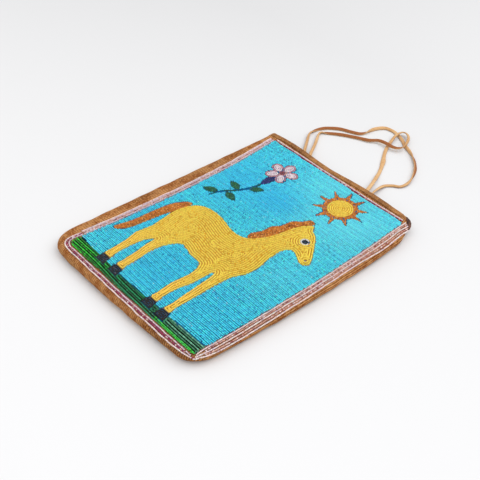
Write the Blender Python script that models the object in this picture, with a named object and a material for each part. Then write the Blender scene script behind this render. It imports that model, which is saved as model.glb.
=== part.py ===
"""Flat beaded bag with two thong handles, lying on its back.

The bag is a shallow pouch of fine-ribbed tan cloth: a front panel that carries the beadwork and a back
panel, rolled at the sides and at the foot, open at the mouth and bound there. Each colour of the beadwork
is its own solid on the front: a ridge stands for a few strands of beads, the ground's ridges run across
the bag, and the ridges of a motif follow its own outline. Metres, +Z up out of the beaded face, +Y towards
the mouth, +X to the bag's right.

Plan sizes are given about the centre of the bead field. The empty that carries every piece then puts the
middle of the bag's own box on the origin.
"""
import math

import bmesh
import bpy
import numpy as np
from mathutils import Vector
from mathutils.geometry import delaunay_2d_cdt

MM = 0.001

# Pouch
POUCH_CORNERS = {"top_left": (-122.9, 170.0), "bottom_left": (-124.6, -159.9),
                 "bottom_right": (105.4, -147.2), "top_right": (115.2, 164.2)}
POUCH_BOWS = {"left": 0.0, "bottom": 3.3, "right": 6.4, "top": 0.0}
POUCH_RADII = {"top_left": 20.0, "bottom_left": 29.6, "bottom_right": 18.0, "top_right": 59.4}
POUCH_HEIGHT = 12.0
CLOTH = 1.6
SEAM_GAP = 0.3
SIDE_STEPS = 3

# Mouth and its binding
MOUTH_LEFT = (-120.0, 155.0)
MOUTH_SLOPE = -0.027
MOUTH_WAVE = 1.5
MOUTH_WAVE_LENGTH = 130.0
MOUTH_WAVE_START = -150.0
MOUTH_SAMPLES = 15
BINDING_DEPTH = 5.5
BINDING_THICKNESS = 0.9

# Wrapped end of the binding, round the mouth's right corner
WRAP_START = (96.5, 150.9, 9.3)
WRAP_END = (105.6, 145.2, 7.6)
WRAP_RADIUS = 3.5
BINDING_RIGHT_X = 92.4

# Bead field
FIELD_CORNERS = {"top_left": (-105.0, 145.0), "bottom_left": (-103.5, -147.5),
                 "bottom_right": (99.3, -141.2), "top_right": (103.0, 138.5)}
FIELD_BOWS = {"left": -8.0, "bottom": 0.8, "right": 3.5, "top": -0.6}
FIELD_RADII = {"top_left": 1.5, "bottom_left": 9.0, "bottom_right": 4.0, "top_right": 4.0}
TURF_LEFT_Y = -132.8
TURF_RIGHT_Y = -127.0
TURF_SAG = 3.0
BEAD = 1.9
BEAD_LIFT = 1.6
STRANDS_PER_RIDGE = 3
STRANDS_PER_CONTOUR = 3
GROOVE = 0.55
GAP = 0.3
CUTTER_MARGIN = 20.0
MOUTH_REACH = 60.0

# Border strands, counted outwards from the field
STRAND_DIAMETER = 1.6
STRAND_PITCH = 1.95
STRAND_FAN_START_Y = 45.0
STRAND_FAN_END_Y = 138.0
STRAND_FAN = 0.22
STRAND_RIGHT_END = (102.0, 141.0)
# How much sooner each right strand ends, from the inmost outwards, as the bag's corners turn away
STRAND_FOOT_STAGGER = (0.0, 1.0, 3.5, 7.5, 13.0)
STRAND_MOUTH_STAGGER = (0.0, 0.0, 2.0, 6.0, 12.0)
STRAND_WRAP_Y = -128.0
STRAND_CLEARANCE = 0.45
STRAND_BEND = 0.15
LEFT_STRANDS = ("lavender", "rose", "lavender", "pink")
RIGHT_STRANDS = ("pink", "rose", "pink", "rose", "pink")
TOP_STRANDS = ("burgundy", "pink")
BOTTOM_STRANDS = ("lavender", "burgundy", "pink")

# Thong handles
THONG_DIAMETER = 3.0
THONG_POINT_SPACING = 8.5

# Routes of the thongs' centre lines, with the height above the floor
OUTER_HANDLE = (
    (-55.0, 138.0, 3.6), (-58.5, 146.0, 4.9), (-63.5, 154.5, 5.3), (-73.0, 166.0, 4.9), (-87.0, 184.0, 2.4),
    (-98.8, 200.3, 1.7), (-101.5, 208.7, 1.7), (-100.8, 219.7, 1.7), (-94.0, 231.0, 1.7), (-82.6, 240.9, 1.7),
    (-69.0, 246.5, 1.7), (-58.5, 252.0, 1.7), (-54.6, 261.4, 1.7), (-52.2, 276.2, 1.7), (-46.1, 286.7, 1.7),
    (-36.3, 289.4, 1.7), (-26.2, 287.8, 1.7), (-14.8, 282.9, 1.7), (-1.8, 274.0, 1.7), (10.7, 267.0, 1.7),
    (24.2, 258.1, 1.7), (37.6, 244.4, 1.7), (46.4, 229.2, 1.7), (51.5, 212.9, 1.7), (49.9, 201.6, 1.7),
    (42.7, 196.0, 1.7), (37.0, 188.0, 2.0), (37.5, 175.0, 3.4), (40.5, 161.0, 5.1), (42.5, 152.5, 5.3),
    (43.3, 145.5, 4.9), (44.0, 137.0, 3.6))
INNER_HANDLE = (
    (-44.0, 138.0, 8.4), (-48.0, 146.5, 7.2), (-52.5, 154.0, 7.0), (-62.0, 165.5, 6.2), (-72.0, 181.0, 3.6),
    (-82.5, 197.0, 1.9), (-91.5, 211.0, 1.8), (-91.5, 217.5, 1.9), (-83.8, 223.5, 2.2), (-69.5, 233.4, 2.6),
    (-53.9, 241.6, 3.0), (-39.3, 247.3, 3.4), (-29.8, 254.5, 4.2), (-17.5, 255.6, 5.2), (-7.0, 255.1, 5.2),
    (0.0, 259.0, 5.2), (0.8, 269.1, 5.2), (-5.5, 284.1, 5.2), (-14.0, 292.5, 5.2), (-21.0, 291.5, 5.2),
    (-22.3, 281.0, 5.0), (-18.5, 265.8, 2.6), (-15.0, 255.3, 1.8), (-6.9, 240.3, 1.7), (4.5, 223.6, 1.7),
    (15.2, 204.3, 1.9), (25.5, 181.0, 3.6), (33.0, 163.0, 6.6), (36.0, 154.0, 7.0), (37.0, 146.5, 7.2),
    (37.5, 137.0, 8.4))

# Motifs: points of smooth closed outlines, millimetres about the field's centre
HORSE_BODY = (
    (45, 62), (50, 55), (58, 51), (70, 37), (81, 22), (83, 15), (77, 10), (67, 15), (57, 18), (51, 8),
    (51, -8), (54, -24), (53, -40), (47, -54), (45, -78), (45, -102), (45, -122), (47, -130),
    (38, -130), (38, -120), (36, -100), (34.5, -80), (33.5, -68), (31, -61.5), (29, -68), (28.5, -84), (25, -104), (25, -122),
    (27, -130), (17, -130), (17, -120), (15, -102), (17, -82), (12, -65), (-6, -64), (-22, -60),
    (-31, -70), (-36, -86), (-34, -104), (-33, -122), (-31, -130), (-41, -130), (-42, -120), (-44, -102),
    (-47, -88), (-48, -76), (-54, -86), (-56, -104), (-55, -122), (-53, -130), (-63, -130), (-64, -120),
    (-66, -100), (-70, -86), (-68, -66), (-72, -42), (-72, -24), (-64, -9), (-50, -2), (-30, -2),
    (-8, -8), (10, -7), (20, 4), (28, 20), (32, 40), (38, 54))
HORSE_MANE = (
    (44, 65), (39, 57), (33, 42), (29, 22), (22, 6), (14, -4), (10, 4), (15, 14), (16, 28), (22, 36),
    (24, 50), (32, 58), (36, 67))
HORSE_TAIL = (
    (-69, -12), (-77, -14), (-85, -28), (-88, -52), (-89, -78), (-94, -98), (-86, -96), (-80, -82),
    (-78, -60), (-75, -40))
HOOF = ((-5.6, 3.0), (5.4, 3.0), (7.8, -7.0), (-6.0, -7.0))
HOOF_TOPS = ((42.5, -131.5), (22.0, -131.5), (-36.0, -131.5), (-58.0, -131.5))
# The sky seen between the legs: left, right and upper ends, each inside a leg or the body
LEG_GAPS = {"sky_between_forelegs": (21.0, 41.0, -58.0), "sky_under_belly": (-38.5, 20.0, -56.0),
            "sky_between_hind_legs": (-60.0, -40.0, -72.0)}
EYE_CENTRE = (57.0, 37.0)
EYE_RADIUS = 3.2
EYE_RING = 1.8
NOSTRIL_CENTRE = (77.0, 17.5)
NOSTRIL_RADIUS = 1.5

SUN_CENTRE = (42.0, 106.0)
SUN_DISC_RADIUS = 14.5
SUN_RING_WIDTH = 5.0
SUN_RAYS = 10
SUN_RAY_LENGTH = 11.0
SUN_RAY_WIDTH = 5.0

BLOSSOM_CENTRE = (-48.0, 104.0)
PETALS = 5
PETAL_LENGTH = 13.5
PETAL_WIDTH = 8.6
PETAL_RIM = 1.9
PETAL_NOTCH = 9.5
PETAL_GAP = 1.3
BLOSSOM_HEART = 3.4
CALYX = ((-53.0, 97.0), (-43.0, 97.0), (-43.5, 80.0), (-47.5, 70.0), (-52.0, 79.0))
STEM = ((-47.5, 69.5), (-50.0, 56.0), (-57.0, 42.0), (-67.0, 28.0), (-72.0, 14.0))
STEM_WIDTH = 2.2
LEAF_LENGTH = 19.0
LEAF_WIDTH = 9.0
LEAVES = (((-51.5, 53.5), 38.0), ((-57.0, 45.0), 168.0), ((-62.5, 31.5), -12.0), ((-70.0, 25.0), 205.0))

COLOURS = {
    "cloth": (0.36, 0.19, 0.075), "binding": (0.27, 0.13, 0.055), "binding_end": (0.10, 0.035, 0.025),
    "thong": (0.62, 0.33, 0.13), "sky": (0.045, 0.48, 0.80), "turf": (0.012, 0.16, 0.05),
    "gold": (0.86, 0.55, 0.055), "amber": (0.50, 0.19, 0.02), "black": (0.012, 0.011, 0.012),
    "white": (0.80, 0.78, 0.74), "pink": (0.66, 0.47, 0.47), "lavender": (0.52, 0.38, 0.45),
    "rose": (0.38, 0.13, 0.14), "rose_dark": (0.30, 0.07, 0.09), "burgundy": (0.17, 0.012, 0.05),
    "petal": (0.62, 0.50, 0.54), "navy": (0.022, 0.025, 0.14), "leaf": (0.006, 0.085, 0.035)}

SIDES = ("left", "bottom", "right", "top")
CORNER_AFTER = {"left": "bottom_left", "bottom": "bottom_right", "right": "top_right", "top": "top_left"}
SIDE_SAMPLES = 7
CORNER_SAMPLES = 4


def clear_scene():
    """Remove every object that the file opened with."""
    for obj in list(bpy.data.objects):
        bpy.data.objects.remove(obj, do_unlink=True)


def make_material(name):
    """Return the Principled material of one colour of bead, cloth or thong."""
    material = bpy.data.materials.get(name)
    if material is None:
        material = bpy.data.materials.new(name)
        material.use_nodes = True
        shader = material.node_tree.nodes["Principled BSDF"]
        shader.inputs["Base Color"].default_value = (*COLOURS[name], 1.0)
        soft = name in ("cloth", "binding", "binding_end", "thong")
        shader.inputs["Roughness"].default_value = 0.85 if soft else 0.3
        shader.inputs["Metallic"].default_value = 0.0
    return material


def place(obj, colour):
    """Put a piece in the bag's collection, on the bag's frame, in its colour."""
    for owner in list(obj.users_collection):
        owner.objects.unlink(obj)
    bag_collection.objects.link(obj)
    obj.parent = bag_frame
    obj.data.materials.clear()
    obj.data.materials.append(make_material(colour))
    return obj


def place_cutter(obj):
    """Put a cutter in its own collection, on the bag's frame, hidden from renders."""
    for owner in list(obj.users_collection):
        owner.objects.unlink(obj)
    cutter_collection.objects.link(obj)
    obj.parent = bag_frame
    obj.hide_render = True
    obj.display_type = "WIRE"
    return obj


def boolean(obj, other, operation):
    """Add an exact Boolean with another object."""
    modifier = obj.modifiers.new(operation.lower(), "BOOLEAN")
    modifier.operation = operation
    modifier.solver = "EXACT"
    modifier.object = other
    return modifier


def mesh_object(name, bm):
    """Make an object of a bmesh, with its faces pointing out."""
    bmesh.ops.recalc_face_normals(bm, faces=bm.faces)
    mesh = bpy.data.meshes.new(name)
    bm.to_mesh(mesh)
    bm.free()
    obj = bpy.data.objects.new(name, mesh)
    bpy.context.scene.collection.objects.link(obj)
    return obj


def rounded_frame(corners, bows, radii, inset):
    """Return the four sides and four corners of a bowed, round-cornered frame, moved inwards by inset."""
    names = [CORNER_AFTER[side] for side in SIDES]
    points = [np.array(corners[name], float) for name in names]
    starts = [points[index - 1] for index in range(4)]
    lines = []
    for start, end in zip(starts, points):
        along = (end - start) / np.linalg.norm(end - start)
        inward = np.array((-along[1], along[0]))
        lines.append((start + inward * inset, along, inward))
    moved = []
    for index in range(4):
        first, second = lines[index], lines[(index + 1) % 4]
        steps = np.linalg.solve(np.array((first[1], -second[1])).T, second[0] - first[0])
        moved.append(first[0] + first[1] * steps[0])
    pieces = {}
    for index, side in enumerate(SIDES):
        start, end = moved[index - 1], moved[index]
        outward = -lines[index][2]
        length = np.linalg.norm(end - start)
        radius_start = max(radii[names[index - 1]] - inset, 1.0)
        radius_end = max(radii[names[index]] - inset, 1.0)
        shares = np.linspace(radius_start / length, 1.0 - radius_end / length, SIDE_SAMPLES)
        bow = 4.0 * shares * (1.0 - shares) * bows[side]
        pieces[side] = start + np.outer(shares, end - start) + np.outer(bow, outward)
    for index, side in enumerate(SIDES):
        before, after = pieces[side][-1], pieces[SIDES[(index + 1) % 4]][0]
        shares = np.linspace(0.0, 1.0, CORNER_SAMPLES + 2)[1:-1, None]
        pieces[names[index]] = ((1 - shares) ** 2 * before + 2 * shares * (1 - shares) * moved[index]
                                + shares ** 2 * after)
    return pieces


def frame_loop(corners, bows, radii, inset=0.0):
    """Return one closed loop of points of a rounded frame."""
    pieces = rounded_frame(corners, bows, radii, inset)
    return np.concatenate([part for side in SIDES for part in (pieces[side], pieces[CORNER_AFTER[side]])])


def smooth_closed(points, per_span=2):
    """Return a closed Catmull-Rom curve through the points, in the plane."""
    knots = np.array(points, float)
    shares = np.arange(per_span)[:, None] / per_span
    spans = []
    for index in range(len(knots)):
        before, start, end, after = (knots[(index + step) % len(knots)] for step in (-1, 0, 1, 2))
        spans.append(0.5 * (2 * start + (end - before) * shares
                            + (2 * before - 5 * start + 4 * end - after) * shares ** 2
                            + (3 * start - before - 3 * end + after) * shares ** 3))
    return np.concatenate(spans)


def smooth_open(points, spacing):
    """Return points at an even spacing along an open Catmull-Rom curve."""
    knots = np.array(points, float)
    padded = np.concatenate((2 * knots[:1] - knots[1:2], knots, 2 * knots[-1:] - knots[-2:-1]))
    shares = np.arange(16)[:, None] / 16
    spans = []
    for index in range(1, len(padded) - 2):
        before, start, end, after = padded[index - 1:index + 3]
        spans.append(0.5 * (2 * start + (end - before) * shares
                            + (2 * before - 5 * start + 4 * end - after) * shares ** 2
                            + (3 * start - before - 3 * end + after) * shares ** 3))
    return even_points(np.concatenate(spans + [knots[-1:]]), spacing)


def even_points(path, spacing, closed=False):
    """Return a path's points at an even spacing."""
    if closed:
        path = np.concatenate((path, path[:1]))
    lengths = np.concatenate(([0.0], np.cumsum(np.linalg.norm(np.diff(path, axis=0), axis=1))))
    count = max(int(round(lengths[-1] / spacing)), 4 if closed else 2)
    wanted = np.linspace(0.0, lengths[-1], count + 1)
    if closed:
        wanted = wanted[:-1]
    return np.stack([np.interp(wanted, lengths, path[:, axis]) for axis in range(path.shape[1])], axis=1)


def signed_area(loop):
    """Return a closed plane loop's area, above zero where it runs anticlockwise."""
    following = np.roll(loop, -1, axis=0)
    return 0.5 * float(np.sum(loop[:, 0] * following[:, 1] - following[:, 0] * loop[:, 1]))


def grown(loop, distance):
    """Return a closed loop moved outwards by a small distance, measured square to its edges."""
    along = np.roll(loop, -1, axis=0) - loop
    along /= np.linalg.norm(along, axis=1)[:, None]
    turn = 1.0 if signed_area(loop) > 0 else -1.0
    after = turn * np.stack((along[:, 1], -along[:, 0]), axis=1)
    before = np.roll(after, 1, axis=0)
    sharpness = np.maximum(1.0 + np.sum(before * after, axis=1), 0.3)
    return loop + distance * (before + after) / sharpness[:, None]


def flat_solid(name, loop, bottom, top):
    """Return a mesh object: a flat outline with thickness, from a filled and extruded plane curve."""
    data = bpy.data.curves.new(name, "CURVE")
    data.dimensions = "2D"
    data.fill_mode = "BOTH"
    data.extrude = 0.5 * (top - bottom) * MM
    spline = data.splines.new("POLY")
    spline.points.add(len(loop) - 1)
    for point, (x, y) in zip(spline.points, loop):
        point.co = (x * MM, y * MM, 0.0, 1.0)
    spline.use_cyclic_u = True
    curve = bpy.data.objects.new(name + "_curve", data)
    bpy.context.scene.collection.objects.link(curve)
    mesh = bpy.data.meshes.new_from_object(curve.evaluated_get(bpy.context.evaluated_depsgraph_get()))
    bpy.data.objects.remove(curve, do_unlink=True)
    bm = bmesh.new()
    bm.from_mesh(mesh)
    bpy.data.meshes.remove(mesh)
    bmesh.ops.remove_doubles(bm, verts=bm.verts, dist=0.00001)
    bmesh.ops.translate(bm, verts=bm.verts, vec=(0.0, 0.0, 0.5 * (top + bottom) * MM))
    return mesh_object(name, bm)


def loft(name, sections):
    """Return a closed solid between level loops that have the same number of points."""
    bm = bmesh.new()
    rings = [[bm.verts.new((x * MM, y * MM, height * MM)) for x, y in loop] for loop, height in sections]
    count = len(rings[0])
    for lower, upper in zip(rings, rings[1:]):
        for index in range(count):
            after = (index + 1) % count
            bm.faces.new((lower[index], lower[after], upper[after], upper[index]))
    bm.faces.new(list(reversed(rings[0])))
    bm.faces.new(rings[-1])
    return mesh_object(name, bm)


def pouch_form(name, inset):
    """Return the pouch's outer form moved inwards by inset: a level slab with half-round sides."""
    radius = 0.5 * POUCH_HEIGHT - inset
    middle = 0.5 * POUCH_HEIGHT
    sections = []
    for angle in np.linspace(-0.5 * math.pi, 0.5 * math.pi, 2 * SIDE_STEPS + 1):
        side_inset = inset + radius * (1.0 - math.cos(angle))
        sections.append((frame_loop(POUCH_CORNERS, POUCH_BOWS, POUCH_RADII, side_inset),
                         middle + radius * math.sin(angle)))
    return loft(name, sections)


def mouth_line(x):
    """Return the y of the mouth's edge at x."""
    wave = MOUTH_WAVE * (1.0 - np.cos(2.0 * math.pi * (x - MOUTH_WAVE_START) / MOUTH_WAVE_LENGTH))
    return MOUTH_LEFT[1] + MOUTH_SLOPE * (x - MOUTH_LEFT[0]) + wave


def mouth_slab(name, low, high):
    """Return a cutter between two lines that follow the mouth's edge at the given distances."""
    left = min(corner[0] for corner in POUCH_CORNERS.values()) - CUTTER_MARGIN
    right = max(corner[0] for corner in POUCH_CORNERS.values()) + CUTTER_MARGIN
    xs = np.linspace(left, right, MOUTH_SAMPLES)
    lower = np.stack((xs, mouth_line(xs) + low), axis=1)
    upper = np.stack((xs, mouth_line(xs) + high), axis=1)[::-1]
    return place_cutter(flat_solid(name, np.concatenate((lower, upper)), -5.0, POUCH_HEIGHT + 5.0))


def half_space(name, bottom, top):
    """Return a box cutter over the whole bag between two heights."""
    bpy.ops.mesh.primitive_cube_add(size=1.0, location=(0.0, 0.0, 0.5 * (bottom + top) * MM))
    box = bpy.context.object
    box.name = name
    box.scale = (0.5, 0.6, (top - bottom) * MM)
    bpy.context.view_layer.update()
    box.data.transform(box.matrix_basis)
    box.matrix_basis.identity()
    return place_cutter(box)


def build_panels():
    """Make the front and back panels: a hollow pouch, cut open at the mouth and parted at its seam."""
    hollow = place_cutter(pouch_form("pouch_hollow", CLOTH))
    beyond = mouth_slab("beyond_mouth", 0.0, MOUTH_REACH)
    seam = 0.5 * POUCH_HEIGHT
    halves = {"front_panel": half_space("above_seam", seam + 0.5 * SEAM_GAP, seam + POUCH_HEIGHT),
              "back_panel": half_space("below_seam", seam - POUCH_HEIGHT, seam - 0.5 * SEAM_GAP)}
    for name, half in halves.items():
        panel = place(pouch_form(name, 0.0), "cloth")
        boolean(panel, hollow, "DIFFERENCE")
        boolean(panel, beyond, "DIFFERENCE")
        boolean(panel, half, "INTERSECT")
    return halves


def build_bindings(halves):
    """Make the binding of each panel's mouth edge: a folded strip, U-shaped in section."""
    strip = mouth_slab("binding_strip", -BINDING_DEPTH, GAP + BINDING_THICKNESS)
    inside = place_cutter(pouch_form("binding_inside", CLOTH + GAP + BINDING_THICKNESS))
    slot = pouch_form("binding_slot", -GAP)
    place_cutter(slot)
    boolean(slot, place_cutter(pouch_form("slot_inside", CLOTH + GAP)), "DIFFERENCE")
    boolean(slot, mouth_slab("slot_end", GAP, MOUTH_REACH), "DIFFERENCE")
    below = half_space("binding_below_seam", 0.0, 0.5 * (POUCH_HEIGHT - SEAM_GAP))
    for side, half in (("front", halves["front_panel"]), ("back", below)):
        binding = place(pouch_form("mouth_binding_" + side, -GAP - BINDING_THICKNESS), "binding")
        boolean(binding, strip, "INTERSECT")
        boolean(binding, inside, "DIFFERENCE")
        boolean(binding, slot, "DIFFERENCE")
        boolean(binding, half, "INTERSECT")


def capsule(name, start, end, radius):
    """Return a rod with round ends between two points."""
    axis = Vector(end) - Vector(start)
    bm = bmesh.new()
    bmesh.ops.create_uvsphere(bm, u_segments=10, v_segments=7, radius=radius * MM)
    for vert in bm.verts:
        vert.co.z += math.copysign(0.5 * axis.length * MM, vert.co.z)
    turn = axis.to_track_quat("Z", "Y").to_matrix()
    middle = 0.5 * (Vector(start) + Vector(end)) * MM
    for vert in bm.verts:
        vert.co = turn @ vert.co + middle
    return mesh_object(name, bm)


def build_binding_end():
    """Make the wrapped end of the binding and let it into the panels and bindings round it."""
    place(capsule("binding_end", WRAP_START, WRAP_END, WRAP_RADIUS), "binding_end")
    room = place_cutter(capsule("binding_end_room", WRAP_START, WRAP_END, WRAP_RADIUS + GAP))
    right = POUCH_CORNERS["top_right"][0] + 20.0
    beyond = np.array(((BINDING_RIGHT_X, 130.0), (right, 130.0), (right, 180.0), (BINDING_RIGHT_X, 180.0)))
    past_end = place_cutter(flat_solid("past_binding_end", beyond, -5.0, POUCH_HEIGHT + 5.0))
    for name in ("mouth_binding_front", "mouth_binding_back"):
        boolean(bpy.data.objects[name], past_end, "DIFFERENCE")
    for name in ("front_panel", "back_panel", "mouth_binding_front", "mouth_binding_back"):
        boolean(bpy.data.objects[name], room, "DIFFERENCE")


def panel_edge():
    """Return the pouch's outline, closely spaced, and its outward directions."""
    loop = even_points(frame_loop(POUCH_CORNERS, POUCH_BOWS, POUCH_RADII), 2.0, closed=True)
    outward = grown(loop, 1.0) - loop
    return loop, outward


def lay_on_front(point, lift):
    """Return where a point of the plan comes to lie on the rolled front, at a height above the cloth."""
    loop, outward = EDGE
    offsets = point - loop
    nearest = int(np.argmin(np.sum(offsets ** 2, axis=1)))
    depth = float(-offsets[nearest] @ outward[nearest])
    radius = 0.5 * POUCH_HEIGHT
    angle = min(max(radius - depth, 0.0) / radius, math.radians(80.0))
    plan = point - outward[nearest] * max(radius - depth - radius * math.sin(angle), 0.0)
    plan = plan + outward[nearest] * math.sin(angle) * lift
    return np.array((plan[0], plan[1], radius + (radius + lift) * math.cos(angle)))


def tube(name, path, diameter, colour, resolution):
    """Make a round cord along a path, as a curve with a bevel and filled caps."""
    data = bpy.data.curves.new(name, "CURVE")
    data.dimensions = "3D"
    data.bevel_depth = 0.5 * diameter * MM
    data.bevel_resolution = resolution
    data.use_fill_caps = True
    spline = data.splines.new("POLY")
    spline.points.add(len(path) - 1)
    for point, (x, y, z) in zip(spline.points, path):
        point.co = (x * MM, y * MM, z * MM, 1.0)
    curve = bpy.data.objects.new(name, data)
    bpy.context.scene.collection.objects.link(curve)
    return place(curve, colour)


def laid_span(start, end, lift, splits=4):
    """Return the laid points after start up to end, split where the cloth bends away between them."""
    middle = 0.5 * (start + end)
    laid = [lay_on_front(point, lift) for point in (start, middle, end)]
    if splits == 0 or np.linalg.norm(laid[1] - 0.5 * (laid[0] + laid[2])) < STRAND_BEND:
        return [laid[2]]
    return laid_span(start, middle, lift, splits - 1) + laid_span(middle, end, lift, splits - 1)


def build_strand(name, plan, colour):
    """Make one border strand, laid on the front along a path of the plan."""
    lift = 0.5 * STRAND_DIAMETER + STRAND_CLEARANCE
    path = [lay_on_front(plan[0], lift)]
    for start, end in zip(plan, plan[1:]):
        path += laid_span(start, end, lift)
    tube(name, path, STRAND_DIAMETER, colour, 1)


def side_point(side, y):
    """Return the point of a left side, listed from the mouth to the foot, at a given y."""
    return np.array((np.interp(-y, -side[:, 1], side[:, 0]), y))


def build_borders():
    """Make the strands round the field: four left, three at the foot, five right, two at the mouth."""
    first = 0.5 * STRAND_PITCH + 0.15
    for row, colour in enumerate(LEFT_STRANDS):
        side = rounded_frame(FIELD_CORNERS, FIELD_BOWS, FIELD_RADII, -first - row * STRAND_PITCH)["left"]
        end = side_point(side, STRAND_WRAP_Y + GAP)
        side = np.concatenate((side[side[:, 1] > end[1]], [end]))
        build_strand(f"border_left_strand_{row + 1}", side, colour)
    for row, colour in enumerate(BOTTOM_STRANDS):
        pieces = rounded_frame(FIELD_CORNERS, FIELD_BOWS, FIELD_RADII, -first - row * STRAND_PITCH)
        lead = pieces["left"][pieces["left"][:, 1] < STRAND_WRAP_Y]
        start = side_point(pieces["left"], STRAND_WRAP_Y)
        path = np.concatenate(([start], lead, pieces["bottom_left"], pieces["bottom"]))
        build_strand(f"border_bottom_strand_{row + 1}", path, colour)
    for row, colour in enumerate(TOP_STRANDS):
        side = rounded_frame(FIELD_CORNERS, FIELD_BOWS, FIELD_RADII, -first - row * STRAND_PITCH)["top"]
        build_strand(f"border_top_strand_{row + 1}", side, colour)
    base = rounded_frame(FIELD_CORNERS, FIELD_BOWS, FIELD_RADII, 0.0)["right"]
    base = np.concatenate((base, [STRAND_RIGHT_END]))
    share = (base[:, 1] - STRAND_FAN_START_Y) / (STRAND_FAN_END_Y - STRAND_FAN_START_Y)
    fan = 1.0 + STRAND_FAN * np.sin(math.pi * np.clip(share, 0.0, 1.0)) ** 2
    for row, colour in enumerate(RIGHT_STRANDS):
        offset = first + row * STRAND_PITCH
        side = base + np.stack((offset * fan, np.zeros(len(base))), axis=1)
        ends = (side[0, 1] + STRAND_FOOT_STAGGER[row], side[-1, 1] - STRAND_MOUTH_STAGGER[row])
        inner = side[(side[:, 1] > ends[0] + 1.0) & (side[:, 1] < ends[1] - 1.0)]
        first_x, last_x = np.interp(ends, side[:, 1], side[:, 0])
        side = np.concatenate(([(first_x, ends[0])], inner, [(last_x, ends[1])]))
        build_strand(f"border_right_strand_{row + 1}", side, colour)


def lane_slab(name):
    """Return a slab over the whole field whose upper face is ridged, the ridges along X."""
    pitch = BEAD * STRANDS_PER_RIDGE
    reach = max(abs(value) for corner in POUCH_CORNERS.values() for value in corner) + 2 * pitch
    half = int(math.ceil(reach / pitch))
    bottom = POUCH_HEIGHT + GAP
    top = POUCH_HEIGHT + GAP + BEAD_LIFT
    profile = []
    for lane in range(-half, half):
        profile.append((lane * pitch, top - GROOVE))
        profile.append(((lane + 0.5) * pitch, top))
    profile.append((half * pitch, top - GROOVE))
    profile.append((half * pitch, bottom))
    profile.append((-half * pitch, bottom))
    bm = bmesh.new()
    face = bm.faces.new([bm.verts.new((-reach * MM, y * MM, z * MM)) for y, z in profile])
    extruded = bmesh.ops.extrude_face_region(bm, geom=[face])
    moved = [item for item in extruded["geom"] if isinstance(item, bmesh.types.BMVert)]
    bmesh.ops.translate(bm, verts=moved, vec=(2 * reach * MM, 0.0, 0.0))
    return mesh_object(name, bm)


def edge_distance(points, loop):
    """Return each point's distance to a closed loop, above zero inside it."""
    start, end = loop, np.roll(loop, -1, axis=0)
    along = end - start
    offsets = points[:, None, :] - start[None]
    shares = np.clip(np.sum(offsets * along, axis=2) / np.sum(along ** 2, axis=1), 0.0, 1.0)
    nearest = np.linalg.norm(offsets - shares[..., None] * along, axis=2).min(axis=1)
    above = (start[:, 1] <= points[:, None, 1]) != (end[:, 1] <= points[:, None, 1])
    rise = np.where(along[:, 1] == 0.0, 1.0, along[:, 1])
    crossing = start[:, 0] + along[:, 0] * (points[:, None, 1] - start[:, 1]) / rise
    inside = np.sum(above & (points[:, None, 0] < crossing), axis=1) % 2 == 1
    return np.where(inside, nearest, -nearest)


def level_loops(loop, level, cell=1.5):
    """Return the closed loops inside an outline that lie at one distance from it (marching squares)."""
    low, high = loop.min(axis=0) - cell, loop.max(axis=0) + cell
    xs, ys = np.arange(low[0], high[0] + cell, cell), np.arange(low[1], high[1] + cell, cell)
    grid = np.stack(np.meshgrid(xs, ys, indexing="ij"), axis=-1)
    values = edge_distance(grid.reshape(-1, 2), loop).reshape(grid.shape[:2]) - level
    links = {}
    for i, j in zip(*np.nonzero(np.abs(values[:-1, :-1]) < 2.0 * cell)):
        corners = ((i, j), (i + 1, j), (i + 1, j + 1), (i, j + 1))
        entry = leave = None
        crossings = []
        for first, second in zip(corners, corners[1:] + corners[:1]):
            if (values[first] > 0.0) != (values[second] > 0.0):
                crossings.append((tuple(sorted((first, second))), values[first] > 0.0))
        for edge, leaving in crossings:
            if leaving:
                leave = edge
            else:
                entry = edge
        if len(crossings) == 2:
            links[entry] = leave
    loops = []
    while links:
        start, edge = links.popitem()
        chain = [start]
        while edge != start and edge in links:
            chain.append(edge)
            edge = links.pop(edge)
        if edge == start and len(chain) > 8:
            loops.append(np.array([cross_point(grid, values, link) for link in chain]))
    return loops


def cross_point(grid, values, edge):
    """Return where the level crosses one edge of the grid."""
    first, second = edge
    share = values[first] / (values[first] - values[second])
    return grid[first] + share * (grid[second] - grid[first])


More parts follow.
